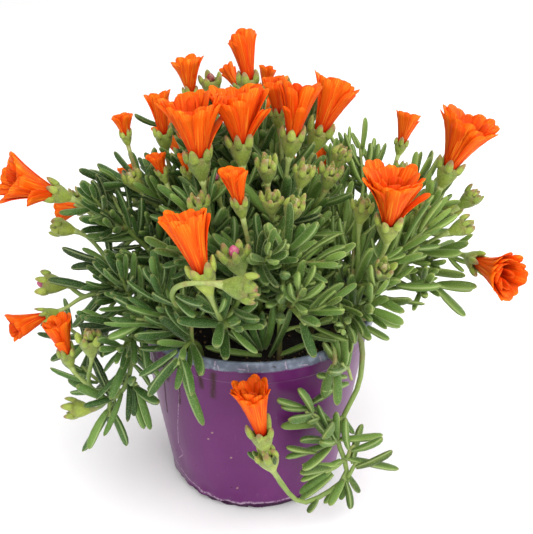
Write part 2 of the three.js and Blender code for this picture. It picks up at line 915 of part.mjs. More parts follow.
// Where the rings of a run lie, and the leaves that the band above each ring carries
function stationsOf(run, pairs) {
  const marks = [{ distance: 0, leaves: [] }];
  if (run.main) {
    marks.push({ distance: rootDepth + rootRise, leaves: [] });
  }
  marks.push(...run.bends.map((distance) => ({ distance, leaves: [] })));
  for (const { distance, leaves } of pairs) {
    marks.push({ distance: distance - leafFoot / 2, leaves });
    marks.push({ distance: distance + leafFoot / 2, leaves: [] });
  }
  marks.push({ distance: lengthOf(run.track), leaves: [] });
  marks.sort((a, b) => a.distance - b.distance);
  return marks.flatMap((mark, i) => {
    const room = i + 1 < marks.length ? marks[i + 1].distance - mark.distance : 0;
    const parts = Math.max(1, Math.ceil(room / ringSpacing));
    const between = Array.from({ length: parts - 1 }, (_, k) => ({
      distance: mark.distance + (room * (k + 1)) / parts,
      leaves: [],
    }));
    return [mark, ...between];
  });
}

function runSolid(run, owner, draw) {
  const mesh = { points: [], triangles: [] };
  const length = lengthOf(run.track);
  const stations = stationsOf(run, pairsOf(run, owner, draw));
  const startRadius = run.main ? stemRadius : stemTipRadius;
  const rings = stations.map(({ distance }) => {
    const radius = THREE.MathUtils.lerp(startRadius, stemTipRadius, distance / length);
    return addPoints(mesh, stemRing(placeAt(run.track, distance), radius));
  });
  addCap(mesh, [...rings[0]].reverse());
  for (let i = 0; i < rings.length - 1; i += 1) {
    const { leaves } = stations[i];
    const [lower, upper] = [rings[i], rings[i + 1]];
    addBand(mesh, lower, upper, leaves.map(({ face }) => face));
    for (const { face, leaf } of leaves) {
      const next = (face + 1) % stemSides;
      addLeaf(mesh, leaf, [lower[face], lower[next], upper[next], upper[face]]);
    }
  }
  const last = rings[rings.length - 1];
  if (run.end.kind === 'tuft') {
    addCap(mesh, last);
  } else {
    addCalyx(mesh, last, run.end, placeAt(run.track, length));
  }
  return solidOf(closedGeometry(mesh.points, mesh.triangles));
}

const grownStems = stems.map((stem) => ({ stem, owner: `stem_${stem.name}`, runs: runsOf(stem) }));

for (const { owner, runs } of grownStems) {
  for (const run of runs) {
    takeRun(run.track, owner);
    takeEnd(run.end, owner);
  }
}

const potFinish = { color: 0x7a4079, roughness: 0.4, metalness: 0 };
const soilFinish = { color: 0x2b211a, roughness: 0.95, metalness: 0 };
const leafFinish = { color: 0x5c8450, roughness: 0.55, metalness: 0 };
const petalFinish = { color: 0xf96a16, roughness: 0.5, metalness: 0 };

const plant = new THREE.Group();

function addMesh(name, geometry, finish) {
  const mesh = new THREE.Mesh(geometry, new THREE.MeshStandardMaterial(finish));
  mesh.name = name;
  plant.add(mesh);
}

addMesh('pot', potGeometry(), potFinish);
addMesh('soil', soilGeometry(), soilFinish);
const leafDraw = seededDraws(leafSeed);
for (const { owner, runs } of grownStems) {
  const solids = runs.map((run) => runSolid(run, owner, leafDraw));
  addMesh(owner, geometryOf(filled(solids.reduce((whole, solid) => whole.add(solid)))), leafFinish);
}
const petalDraw = seededDraws(petalSeed);
for (const { stem } of grownStems) {
  stem.ends.filter((end) => end.kind === 'bloom').forEach((end, i) => {
    const name = i === 0 ? `petals_${stem.name}` : `petals_${stem.name}_${i + 1}`;
    addMesh(name, corollaGeometry(end, petalDraw), petalFinish);
  });
}

export default plant;
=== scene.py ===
import math
import random

import bpy
import numpy as np
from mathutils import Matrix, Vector, noise


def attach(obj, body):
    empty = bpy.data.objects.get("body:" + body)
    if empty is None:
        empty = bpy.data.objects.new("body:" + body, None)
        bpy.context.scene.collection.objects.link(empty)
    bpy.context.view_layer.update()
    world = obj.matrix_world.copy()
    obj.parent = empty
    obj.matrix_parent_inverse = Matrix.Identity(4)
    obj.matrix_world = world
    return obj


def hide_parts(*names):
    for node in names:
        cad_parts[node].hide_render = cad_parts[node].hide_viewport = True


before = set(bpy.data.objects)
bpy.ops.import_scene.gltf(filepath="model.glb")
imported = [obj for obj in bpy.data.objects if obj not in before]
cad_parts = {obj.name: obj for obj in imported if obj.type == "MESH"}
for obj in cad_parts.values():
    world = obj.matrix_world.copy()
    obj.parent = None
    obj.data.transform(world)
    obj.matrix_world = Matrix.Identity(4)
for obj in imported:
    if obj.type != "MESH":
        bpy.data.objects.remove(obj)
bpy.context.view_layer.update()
mm = 0.001
up = np.array([0.0, 0.0, 1.0])
fullTurn = 2 * math.pi
looseTurn = 6.28  # near enough for what lies or stands any way round
print("frame loaded:", len(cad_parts), "nodes")

# Camera, floor and light

stageLook = {
    "cameraPlace": (6.6, -425, 356),
    "cameraPitch": 61.6,
    "lens": 61.6,
    "floorSize": 8,
    "floorColour": (0.97, 0.97, 0.97, 1),
    "floorRoughness": 0.9,
    "skyStrength": 0.72,
    "lamps": {
        "key": {"place": (-0.1, -0.95, 1.6), "size": 1.8, "power": 25, "aim": (0, 0, 0.12)},
        "fill": {"place": (1.0, -0.9, 0.9), "size": 1.6, "power": 10, "aim": (0, 0, 0.12)},
        "back": {"place": (1.1, 0.75, 0.8), "size": 1.2, "power": 9, "aim": (0, 0, 0.14)},
    },
}


def aimAt(thing, target):
    thing.rotation_euler = (Vector(target) - thing.location).to_track_quat("-Z", "Y").to_euler()


def makeStage(look):
    scene = bpy.context.scene
    scene.view_settings.view_transform = "Standard"
    camera = bpy.data.objects.new("camera", bpy.data.cameras.new("camera"))
    camera.location = [c * mm for c in look["cameraPlace"]]
    camera.rotation_euler = (math.radians(look["cameraPitch"]), 0, 0)
    camera.data.lens = look["lens"]
    scene.collection.objects.link(camera)
    scene.camera = camera
    for name, lamp in look["lamps"].items():
        light = bpy.data.objects.new(name, bpy.data.lights.new(name, "AREA"))
        light.location = lamp["place"]
        light.data.size = lamp["size"]
        light.data.energy = lamp["power"]
        aimAt(light, lamp["aim"])
        scene.collection.objects.link(light)
    scene.world = bpy.data.worlds.new("sky")
    scene.world.use_nodes = True
    sky = scene.world.node_tree.nodes["Background"]
    sky.inputs["Color"].default_value = (1, 1, 1, 1)
    sky.inputs["Strength"].default_value = look["skyStrength"]
    bpy.ops.object.select_all(action="DESELECT")
    bpy.ops.mesh.primitive_plane_add(size=look["floorSize"])
    floor = bpy.context.object
    floor.name = "floor"
    finish = bpy.data.materials.new("floorPaper")
    finish.use_nodes = True
    paper = finish.node_tree.nodes["Principled BSDF"]
    paper.inputs["Base Color"].default_value = look["floorColour"]
    paper.inputs["Roughness"].default_value = look["floorRoughness"]
    floor.data.materials.append(finish)
    print("stage set")


makeStage(stageLook)

# Node tools


def addNode(tree, kind, settings=None, **sockets):
    item = tree.nodes.new(kind)
    for name, value in (settings or {}).items():
        setattr(item, name, value)
    for name, value in sockets.items():
        plug(tree, item, name, value)
    return item


def plug(tree, item, name, value):
    socket = item.inputs[int(name[1:]) if name[1:].isdigit() else name.replace("_", " ")]
    if isinstance(value, bpy.types.NodeSocket):
        tree.links.new(value, socket)
    else:
        socket.default_value = value


def maths(tree, operation, *values, clamp=False):
    item = addNode(tree, "ShaderNodeMath", {"operation": operation, "use_clamp": clamp})
    for i, value in enumerate(values):
        plug(tree, item, f"i{i}", value)
    return item.outputs[0]


def times(tree, *values, clamp=False):
    return maths(tree, "MULTIPLY", *values, clamp=clamp)


def plus(tree, *values):
    return maths(tree, "ADD", *values)


def minus(tree, *values):
    return maths(tree, "SUBTRACT", *values)


# How far a value lies from its middle
def awayFrom(tree, value, middle):
    return maths(tree, "ABSOLUTE", minus(tree, value, middle))


def vectorMaths(tree, operation, *values):
    item = addNode(tree, "ShaderNodeVectorMath", {"operation": operation})
    for i, value in enumerate(values):
        plug(tree, item, f"i{i}", value)
    return item.outputs["Value" if operation in ("DOT_PRODUCT", "LENGTH") else "Vector"]


def mixed(tree, share, first, second, blend="MIX"):
    item = addNode(tree, "ShaderNodeMix", {"data_type": "RGBA", "blend_type": blend})
    plug(tree, item, "i0", share)
    plug(tree, item, "i6", first)
    plug(tree, item, "i7", second)
    return item.outputs[2]


def ramp(tree, value, stops):
    item = addNode(tree, "ShaderNodeValToRGB", Fac=value)
    for i, (place, colour) in enumerate(stops):
        stop = item.color_ramp.elements[i] if i < 2 else item.color_ramp.elements.new(place)
        stop.position = place
        stop.color = (*colour, 1)
    return item.outputs["Color"]


def band(tree, value, low, high):
    item = addNode(tree, "ShaderNodeMapRange", {"interpolation_type": "SMOOTHSTEP"})
    plug(tree, item, "Value", value)
    plug(tree, item, "From Min", low)
    plug(tree, item, "From Max", high)
    return item.outputs["Result"]


# Where a value lies within a band named in the settings
def within(tree, value, look, name):
    return band(tree, value, *look[name + "Band"])


def objectPlace(tree):
    return addNode(tree, "ShaderNodeTexCoord").outputs["Object"]


def cloudsOf(tree, scale, detail, place=None):
    place = objectPlace(tree) if place is None else place
    return addNode(tree, "ShaderNodeTexNoise", Vector=place, Scale=scale, Detail=detail).outputs["Fac"]


def bumpOf(tree, height, strength, distance):
    return addNode(tree, "ShaderNodeBump", Strength=strength, Distance=distance, Height=height).outputs["Normal"]


def pairOf(tree, first, second):
    return addNode(tree, "ShaderNodeCombineXYZ", X=first, Y=second).outputs[0]


def own(tree, name):
    return addNode(tree, "ShaderNodeAttribute", {"attribute_name": name}).outputs["Fac"]


def ownSkin(tree):
    skin = addNode(tree, "ShaderNodeUVMap", {"uv_map": "skin"}).outputs["UV"]
    return addNode(tree, "ShaderNodeSeparateXYZ", Vector=skin).outputs


def startMaterial(name, roughness):
    material = bpy.data.materials.new(name)
    material.use_nodes = True
    shader = material.node_tree.nodes["Principled BSDF"]
    shader.inputs["Roughness"].default_value = roughness
    return material, material.node_tree, shader


# Colour and normal go into the shader, beside what is the same all over
def dress(tree, shader, colour, normal=None, **sockets):
    tree.links.new(colour, shader.inputs["Base Color"])
    if normal is not None:
        tree.links.new(normal, shader.inputs["Normal"])
    for name, value in sockets.items():
        plug(tree, shader, name, value)


def startGroup(name, inputs, outputs):
    group = bpy.data.node_groups.new(name, "ShaderNodeTree")
    for label, kind, value in inputs:
        socket = group.interface.new_socket(label, in_out="INPUT", socket_type=kind)
        if value is not None:
            socket.default_value = value
    for label, kind in outputs:
        group.interface.new_socket(label, in_out="OUTPUT", socket_type=kind)
    return group, group.nodes.new("NodeGroupInput").outputs, group.nodes.new("NodeGroupOutput")


def useGroup(tree, group, **sockets):
    item = addNode(tree, "ShaderNodeGroup", {"node_tree": group})
    for name, value in sockets.items():
        plug(tree, item, name, value)
    return item.outputs


# Colour that wanders between a darker and a lighter cast of one colour
def makeMottle():
    group, given, out = startGroup(
        "mottle",
        [("Color", "NodeSocketColor", (1, 1, 1, 1)), ("Scale", "NodeSocketFloat", 100.0),
         ("Amount", "NodeSocketFloat", 0.2)],
        [("Color", "NodeSocketColor")],
    )
    swing = times(group, minus(group, cloudsOf(group, given["Scale"], 4.0), 0.5), given["Amount"])
    value = plus(group, times(group, swing, 2.0), 1.0)
    tinted = addNode(group, "ShaderNodeHueSaturation", Color=given["Color"], Value=value)
    group.links.new(tinted.outputs["Color"], out.inputs["Color"])
    return group


# Fine grain for the normal, and the same grain as a mask
def makeGrain():
    group, given, out = startGroup(
        "grain",
        [("Scale", "NodeSocketFloat", 1000.0), ("Strength", "NodeSocketFloat", 0.3),
         ("Depth", "NodeSocketFloat", 0.0003)],
        [("Normal", "NodeSocketVector"), ("Mask", "NodeSocketFloat")],
    )
    cells = addNode(group, "ShaderNodeTexVoronoi", Vector=objectPlace(group), Scale=given["Scale"])
    mask = band(group, cells.outputs["Distance"], 0.55, 0.05)
    group.links.new(bumpOf(group, mask, given["Strength"], given["Depth"]), out.inputs["Normal"])
    group.links.new(mask, out.inputs["Mask"])
    return group


mottle = makeMottle()
grain = makeGrain()

# Modelled shapes as plain arrays, which are bent and gathered into pieces


def clearSelection():
    bpy.ops.object.select_all(action="DESELECT")


def extrudeTo(height, lastHeight, share, lastShare):
    bpy.ops.mesh.extrude_region_move(TRANSFORM_OT_translate={"value": (0, 0, height - lastHeight)})
    factor = share / lastShare
    bpy.ops.transform.resize(value=(factor, factor, 1), center_override=(0, 0, height))


# A closed form drawn up from a filled ring, level by level
def drawUp(sides, levels, section=None):
    clearSelection()
    bpy.ops.mesh.primitive_circle_add(vertices=sides, radius=1, fill_type="NGON")
    form = bpy.context.object
    if section:
        for vertex, (x, y) in zip(form.data.vertices, section):
            vertex.co = (x, y, 0)
    height, share = levels[0]
    bpy.ops.object.mode_set(mode="EDIT")
    bpy.ops.mesh.select_all(action="SELECT")
    bpy.ops.transform.translate(value=(0, 0, height))
    bpy.ops.transform.resize(value=(share, share, 1), center_override=(0, 0, height))
    for nextHeight, nextShare in levels[1:]:
        extrudeTo(nextHeight, height, nextShare, share)
        height, share = nextHeight, nextShare
    bpy.ops.mesh.select_all(action="SELECT")
    bpy.ops.mesh.normals_make_consistent(inside=False)
    bpy.ops.object.mode_set(mode="OBJECT")
    return form


def asArrays(form, skinOf):
    mesh = form.data
    places = np.empty(len(mesh.vertices) * 3)
    mesh.vertices.foreach_get("co", places)
    places = places.reshape(-1, 3)
    corners = np.empty(len(mesh.loops), int)
    mesh.loops.foreach_get("vertex_index", corners)
    starts = np.empty(len(mesh.polygons), int)
    mesh.polygons.foreach_get("loop_start", starts)
    shape = {"places": places, "corners": corners, "starts": starts, "skin": skinOf(places)}
    bpy.data.objects.remove(form)
    bpy.data.meshes.remove(mesh)
    return shape


def newHeap():
    return {"places": [], "corners": [], "starts": [], "skin": [], "tone": [], "mark": [], "finish": [],
            "count": 0, "loops": 0}


def pour(heap, shape, places, finish, tone=0.5, mark=0.0):
    heap["places"].append(places)
    heap["corners"].append(shape["corners"] + heap["count"])
    heap["starts"].append(shape["starts"] + heap["loops"])
    heap["skin"].append(shape["skin"])
    heap["tone"].append(np.broadcast_to(tone, len(places)))
    heap["mark"].append(np.broadcast_to(mark, len(places)))
    heap["finish"].append(np.full(len(shape["starts"]), finish))
    heap["count"] += len(places)
    heap["loops"] += len(shape["corners"])


# The gathered shapes become one piece that stands for its nodes
def settle(name, heap, finishes, slotName, *nodes):
    mesh = bpy.data.meshes.new(name)
    corners = np.concatenate(heap["corners"])
    starts = np.concatenate(heap["starts"])
    mesh.vertices.add(heap["count"])
    mesh.vertices.foreach_set("co", (np.concatenate(heap["places"]) * mm).ravel())
    mesh.loops.add(len(corners))
    mesh.loops.foreach_set("vertex_index", corners)
    mesh.polygons.add(len(starts))
    mesh.polygons.foreach_set("loop_start", starts)
    mesh.polygons.foreach_set("material_index", np.concatenate(heap["finish"]))
    mesh.polygons.foreach_set("use_smooth", np.ones(len(starts), bool))
    mesh.update(calc_edges=True)
    mesh.uv_layers.new(name="skin").data.foreach_set("uv", np.concatenate(heap["skin"])[corners].ravel())
    for label in ("tone", "mark"):
        mesh.attributes.new(label, "FLOAT", "POINT").data.foreach_set("value", np.concatenate(heap[label]))
    for finish in finishes:
        mesh.materials.append(finish)
    piece = bpy.data.objects.new(name, mesh)
    bpy.context.scene.collection.objects.link(piece)
    rideAs(piece, slotName, *nodes)


def rideAs(piece, slotName, *nodes):
    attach(piece, "root")
    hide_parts(*nodes)


# The pot

potShape = {
    "height": 109.0,
    "rim": 65.0,
    "lipHeight": 6.0,
    "lipOverhang": 2.4,
    "lipRound": 1.2,
    "wall": 1.5,
    "shoulderHeight": 94.5,
    "shoulderStep": 0.9,
    "corner": 48.4,
    "cornerHeight": 5.0,
    "foot": 45.5,
    "footWidth": 4.0,
    "pad": 16.0,
    "footRecess": 3.6,
    "floorTop": 5.4,
    "sides": 128,
    "drainHoles": 6,
    "drainRadius": 3.5,
    "drainCircle": 29.0,
    "notches": 6,
    "notchWidth": 7.0,
    "notchHeight": 2.2,
    # rounded corners, as height above and radius beside the corner
    "footRound": [(0, -1.2), (0.3, -0.3), (1.2, 0.4), (3, 1.3), (4.8, 2.3)],
    "stepRound": [(1.1, -0.2), (1.6, 0)],
    "underLip": [(-0.4, 0.1), (0, 0.3)],
    "lipCorner": [(0, -0.6), (0.4, -0.1)],
    "insideLip": (1.4, 0.2),
    "ringRound": [(0, 0), (0.4, 0.3), (-0.4, 0.8), (0, 1.4)],
    "padRound": [(0, 1.4), (-0.4, 0.8), (0.4, 0.3), (0, -0.3)],
    "floorRadii": (36, 24, 12),
    "innermost": 8,
    "drainSides": 20,
    "cutReach": 4,
    "waviness": 0.3,
    "waveScale": (0.035, 0.035, 0.025),
    "waveSlice": 3,
    "waveFullAt": 20,
    "steadyHeight": 0.2,
    "dentBumps": (0.35, 1.1, 0.16, 0.25),
    "dentSlice": 7,
    "dentMiddle": 0.45,
    # how deep, then where in degrees round and height, each with its spread
    "dent": (2.6, -115, 40, 5, 6),
    "crease": (0.5, -141, 5, 25, 18),
    "smoothAngle": math.radians(38),
}


def wallRadius(height):
    top = potShape["rim"] - potShape["lipOverhang"] - potShape["shoulderStep"]
    share = (height - potShape["cornerHeight"]) / (potShape["shoulderHeight"] - potShape["cornerHeight"])
    return potShape["corner"] + (top - potShape["corner"]) * share


# Height and radius all the way up the outside and down the inside
def potLevels(pot):
    neck = pot["rim"] - pot["lipOverhang"]
    lipFoot = pot["height"] - pot["lipHeight"]
    wall, lip, foot = pot["wall"], pot["lipRound"], pot["foot"]
    shoulder, corner = pot["shoulderHeight"], pot["cornerHeight"]
    outside = [(z, foot + r) for z, r in pot["footRound"]] + [(corner, pot["corner"])]
    outside += [(z, wallRadius(z)) for z in np.linspace(corner + 2, shoulder - 1, 22)]
    outside += [(shoulder, wallRadius(shoulder)), (shoulder + 0.4, wallRadius(shoulder) + 0.15)]
    outside += [(shoulder + z, neck + r) for z, r in pot["stepRound"]]
    outside += [(lipFoot + z, neck + r) for z, r in pot["underLip"]]
    outside += [(lipFoot + z, pot["rim"] + r) for z, r in pot["lipCorner"]]
    turns = [math.radians(a) for a in range(0, 181, 30)]
    outside += [(pot["height"] - lip + lip * math.sin(a), pot["rim"] - lip + lip * math.cos(a)) for a in turns]
    drop, spread = pot["insideLip"]
    inside = [(pot["height"] - lip - drop, neck - wall + spread), (lipFoot, neck - wall),
              (shoulder + 1, neck - wall), (shoulder - 0.5, wallRadius(shoulder) - wall)]
    inside += [(z, wallRadius(z) - wall) for z in np.linspace(shoulder - 6, corner + 2, 8)]
    inside += [(pot["floorTop"] + 0.4, foot - 0.6)]
    inside += [(pot["floorTop"], r) for r in (foot - 3, *pot["floorRadii"])]
    return outside + inside


# The underside: recessed between the foot ring and a pad in the middle
def potUnderside(pot):
    ring, pad, recess = pot["foot"] - pot["footWidth"], pot["pad"], pot["footRecess"]
    bases = (0, 0, recess, recess)
    return ([(base + z, ring - r) for base, (z, r) in zip(bases, pot["ringRound"])]
            + [(base + z, pad + r) for base, (z, r) in zip(reversed(bases), pot["padRound"])])


def cutWith(target, cutter):
    modifier = target.modifiers.new("cut", "BOOLEAN")
    modifier.object = cutter
    modifier.operation = "DIFFERENCE"
    modifier.solver = "EXACT"
    clearSelection()
    target.select_set(True)
    bpy.context.view_layer.objects.active = target
    bpy.ops.object.modifier_apply(modifier="cut")
    bpy.data.objects.remove(cutter)


def makePot(pot, finish):
    levels = [(0, pot["innermost"])] + list(reversed(potUnderside(pot))) + potLevels(pot)
    form = drawUp(pot["sides"], [(z * mm, r * mm) for z, r in levels])
    reach = pot["cutReach"] * pot["footWidth"] * mm
    for i in range(pot["drainHoles"]):
        turn = fullTurn * i / pot["drainHoles"]
        clearSelection()
        bpy.ops.mesh.primitive_cylinder_add(
            vertices=pot["drainSides"], radius=pot["drainRadius"] * mm, depth=reach,
            location=(pot["drainCircle"] * mm * math.cos(turn), pot["drainCircle"] * mm * math.sin(turn), 0))
        cutWith(form, bpy.context.object)
    for i in range(pot["notches"]):
        turn = fullTurn * (i + 0.5) / pot["notches"]
        middle = (pot["foot"] - pot["footWidth"] / 2) * mm
        clearSelection()
        bpy.ops.mesh.primitive_cube_add(
            size=1, location=(middle * math.cos(turn), middle * math.sin(turn), 0), rotation=(0, 0, turn),
            scale=(reach, pot["notchWidth"] * mm, 2 * pot["notchHeight"] * mm))
        cutWith(form, bpy.context.object)
    dentPot(form, pot)
    form.name = form.data.name = "nursery_pot"
    form.data.materials.append(finish)
    clearSelection()
    form.select_set(True)
    bpy.context.view_layer.objects.active = form
    bpy.ops.object.shade_smooth_by_angle(angle=pot["smoothAngle"])
    rideAs(form, "pot", "pot")
    print("pot made:", len(form.data.polygons), "faces")


def hump(value, middle, spread):
    return math.exp(-((value - middle) / spread) ** 2)


# The thin plastic wanders a little, and its bottom edge is knocked in at the front left
def dentPot(form, pot):
    dent, dentTurn, dentSpread, dentHeight, dentRise = pot["dent"]
    crease, creaseTurn, creaseSpread, creaseHeight, creaseRise = pot["crease"]
    waveX, waveY, waveZ = pot["waveScale"]
    low, swing, turnScale, riseScale = pot["dentBumps"]
    for vertex in form.data.vertices:
        x, y, z = vertex.co / mm
        out = math.hypot(x, y)
        if z < pot["steadyHeight"] or out < pot["pad"] + 2:
            continue
        turn = math.degrees(math.atan2(y, x))
        wave = noise.noise(Vector((x * waveX, y * waveY, z * waveZ + pot["waveSlice"])))
        shift = pot["waviness"] * wave * min(1, z / pot["waveFullAt"])
        knock = hump(turn, dentTurn, dentSpread) * hump(z, dentHeight, dentRise)
        bumps = low + swing * noise.noise(Vector((turn * turnScale, z * riseScale, pot["dentSlice"])))
        shift += dent * knock * (pot["dentMiddle"] - bumps)
        shift -= crease * hump(turn, creaseTurn, creaseSpread) * hump(z, creaseHeight, creaseRise)
        vertex.co.x += x / out * shift * mm
        vertex.co.y += y / out * shift * mm


# A pale line of stretched plastic between two places on the wall, given as degrees round and height
def makeStressLine():
    group, given, out = startGroup(
        "stressLine",
        [("Start Turn", "NodeSocketFloat", 0.0), ("Start Height", "NodeSocketFloat", 0.0),
         ("Stop Turn", "NodeSocketFloat", 0.0), ("Stop Height", "NodeSocketFloat", 0.0),
         ("Width", "NodeSocketFloat", 0.6), ("Wander", "NodeSocketFloat", 1.5)],
        [("Mask", "NodeSocketFloat")],
    )
    place = objectPlace(group)
    parts = addNode(group, "ShaderNodeSeparateXYZ", Vector=place).outputs
    turn = maths(group, "DEGREES", maths(group, "ARCTAN2", parts["Y"], parts["X"]))
    shift = times(group, minus(group, cloudsOf(group, 120.0, 3.0, place), 0.5), given["Wander"])
    here = pairOf(group, plus(group, turn, shift), plus(group, times(group, parts["Z"], 1 / mm), shift))
    start = pairOf(group, given["Start Turn"], given["Start Height"])
    stop = pairOf(group, given["Stop Turn"], given["Stop Height"])
    line = vectorMaths(group, "SUBTRACT", stop, start)
    away = vectorMaths(group, "SUBTRACT", here, start)
    share = maths(group, "DIVIDE", vectorMaths(group, "DOT_PRODUCT", away, line),
                  vectorMaths(group, "DOT_PRODUCT", line, line), clamp=True)
    scaled = addNode(group, "ShaderNodeVectorMath", {"operation": "SCALE"}, i0=line, Scale=share).outputs[0]
    gap = vectorMaths(group, "LENGTH", vectorMaths(group, "SUBTRACT", away, scaled))
    group.links.new(band(group, gap, given["Width"], 0.0), out.inputs["Mask"])
    return group


potLook = {
    "purple": (0.112, 0.0135, 0.108, 1),
    "purpleLight": (0.142, 0.02, 0.136, 1),
    # painted shade: the much darker purple of the foot band
    "footShadePurple": (0.03, 0.0015, 0.028, 1),
    "grey": (0.11, 0.13, 0.175, 1),
    "greyLight": (0.21, 0.245, 0.31, 1),
    "pale": (0.48, 0.36, 0.46, 1),
    "speck": (0.42, 0.3, 0.2, 1),
    "dirt": (0.04, 0.018, 0.012, 1),
    "roughness": 0.22,
    "gloss": 0.22,
    "cloudScale": 28.0,
    "cloudBand": (0.35, 0.75),
    "cloudRoughness": 0.18,
    "scuffScale": 900.0,
    "scuffBand": (0.64, 0.8),
    "scuffSquash": 0.12,
    "scuffShare": 0.14,
    "edgeScale": 260.0,
    "raggedness": 2.4,
    "lipBand": (0.2, 1.2),
    "innerBand": (0.95, 1.1),
    "floorBand": (7.0, 8.0),
    "greyBand": (0.4, 0.7),
    "breakScale": 700.0,
    "breakBand": (0.36, 0.56),
    "smearScale": 420.0,
    "smearBand": (0.36, 0.5),
    "smearSquash": 0.35,
    "crumbScale": 520.0,
    "crumbBand": (0.75, 0.78),
    "footBand": (6.2, 5.0),
    "footShare": 0.9,
    "lineWander": 1.5,
    "lineShare": 0.75,
    "speckLength": 0.4,
    "speckWidth": 0.8,
    "speckWander": 0.6,
    "speckShare": 0.8,
    "dirtWander": 2.4,
    "dirtShare": 0.85,
    "mattShare": 0.4,
    "reliefShares": (0.25, 0.6),
    "relief": (0.35, 0.0006),
    # each mark runs from one place to another, as degrees round and height in mm, and has a width
    "stressLines": [
        (-128, 88, -131.7, 70, 0.35),
        (-131.7, 70, -137.3, 51, 0.4),
        (-137.3, 51, -142.4, 34, 0.5),
        (-142.4, 34, -139, 28, 0.6),
        (-139, 28, -147, 20, 0.5),
        (-154, 15, -140, 10, 1.0),
        (-140, 10, -128, 7.4, 1.2),
        (-128, 7.4, -112, 6.4, 1.4),
        (-112, 6.4, -85, 6.4, 1.4),
        (-85, 6.4, -64, 7, 1.0),
        (-97, 105.6, -93, 105, 0.5),
        (-70, 105.4, -66, 104.6, 0.6),
        (-106, 108.4, -106.6, 104.6, 0.6),
        (-105, 106.4, -104.4, 103.6, 0.5),
        (-92.4, 108.2, -92.1, 104.2, 0.4),
        (-76, 108.6, -75.4, 104.8, 0.5),
        (-60, 107.8, -59.2, 104, 0.5),
        (-118, 107.6, -112, 107.2, 0.4),
    ],
    "dirtRuns": [
        (-108, 99, -109.3, 84, 2.8),
        (-115, 99, -115, 88, 2.2),
        (-126, 99, -131, 70, 1.4),
        (-137, 96, -147, 54, 1.2),
        (-145, 98, -149, 82, 5.0),
        (-134, 100, -137, 84, 3.5),
        (-81.5, 106.6, -80.5, 106.2, 0.8),
    ],
    "specks": [(-103, 41), (-112.6, 57), (-115.6, 51.4), (-100.7, 17.5)],
}


# The strongest of a set of lines on the wall, so that they join into one mark
def wallMarks(tree, stressLine, lines, wander):
    marks = None
    for startTurn, startHeight, stopTurn, stopHeight, width in lines:
        mask = useGroup(tree, stressLine, Start_Turn=float(startTurn), Start_Height=float(startHeight),
                        Stop_Turn=float(stopTurn), Stop_Height=float(stopHeight), Width=width,
                        Wander=wander)["Mask"]
        marks = mask if marks is None else maths(tree, "MAXIMUM", marks, mask)
    return marks


def makePotPlastic(look, stressLine):
    material, tree, shader = startMaterial("potPlastic", look["roughness"])
    place = objectPlace(tree)

    def flattened(squash):
        return vectorMaths(tree, "MULTIPLY", place, (1.0, 1.0, squash))

    def clouds(name, detail, at=place):
        return cloudsOf(tree, look[name + "Scale"], detail, at)

    def strongest(first, second):
        return maths(tree, "MAXIMUM", first, second)

    height = times(tree, addNode(tree, "ShaderNodeSeparateXYZ", Vector=place).outputs["Z"], 1 / mm)
    out = times(tree, vectorMaths(tree, "LENGTH", flattened(0.0)), 1 / mm)
    cloud = clouds("cloud", 5.0)
    # the foot band is painted much darker, as shade under the rounded foot, and is also made rougher
    shadedUnderside = within(tree, height, look, "foot")
    scuff = clouds("scuff", 6.0, flattened(look["scuffSquash"]))
    purple = mixed(tree, within(tree, cloud, look, "cloud"), look["purple"], look["purpleLight"])
    purple = mixed(tree, times(tree, shadedUnderside, look["footShare"]), purple, look["footShadePurple"])
    purple = mixed(tree, times(tree, within(tree, scuff, look, "scuff"), look["scuffShare"]), purple, look["pale"])
    # the sheet is grey inside, which shows on the lip and down the inner wall
    lipFoot = potShape["height"] - potShape["lipHeight"]
    edge = clouds("edge", 4.0)
    ragged = times(tree, minus(tree, edge, 0.5), look["raggedness"])
    lip = band(tree, plus(tree, height, ragged), *(lipFoot + rise for rise in look["lipBand"]))
    taper = (wallRadius(potShape["shoulderHeight"]) - potShape["corner"]) / (
        potShape["shoulderHeight"] - potShape["cornerHeight"])
    wall = plus(tree, times(tree, height, taper), wallRadius(0.0))
    inner = times(tree, within(tree, minus(tree, wall, out), look, "inner"), within(tree, height, look, "floor"))
    grey = mixed(tree, within(tree, edge, look, "grey"), look["grey"], look["greyLight"])
    colour = mixed(tree, strongest(lip, inner), purple, grey)
    marks = times(tree, wallMarks(tree, stressLine, look["stressLines"], look["lineWander"]),
                  within(tree, clouds("break", 3.0), look, "break"))
    colour = mixed(tree, times(tree, marks, look["lineShare"]), colour, look["pale"])
    long, wide = look["speckLength"], look["speckWidth"]
    specks = wallMarks(tree, stressLine, [(turn, z, turn + long, z + long, wide) for turn, z in look["specks"]],
                       look["speckWander"])
    colour = mixed(tree, times(tree, specks, look["speckShare"]), colour, look["speck"])
    # dried soil that ran down from the rim, and crumbs of it that cling elsewhere
    smear = within(tree, clouds("smear", 6.0, flattened(look["smearSquash"])), look, "smear")
    runs = times(tree, wallMarks(tree, stressLine, look["dirtRuns"], look["dirtWander"]), smear)
    dirt = strongest(runs, within(tree, clouds("crumb", 2.0), look, "crumb"))
    colour = mixed(tree, times(tree, dirt, look["dirtShare"]), colour, look["dirt"])
    matt = times(tree, strongest(dirt, shadedUnderside), look["mattShare"])
    roughness = plus(tree, plus(tree, times(tree, cloud, look["cloudRoughness"]), matt), look["roughness"])
    scuffed, lined = look["reliefShares"]
    relief = plus(tree, times(tree, scuff, scuffed), times(tree, marks, lined))
    dress(tree, shader, colour, bumpOf(tree, relief, *look["relief"]), Roughness=roughness,
          Specular_IOR_Level=look["gloss"])
    return material


makePot(potShape, makePotPlastic(potLook, makeStressLine()))

# The soil

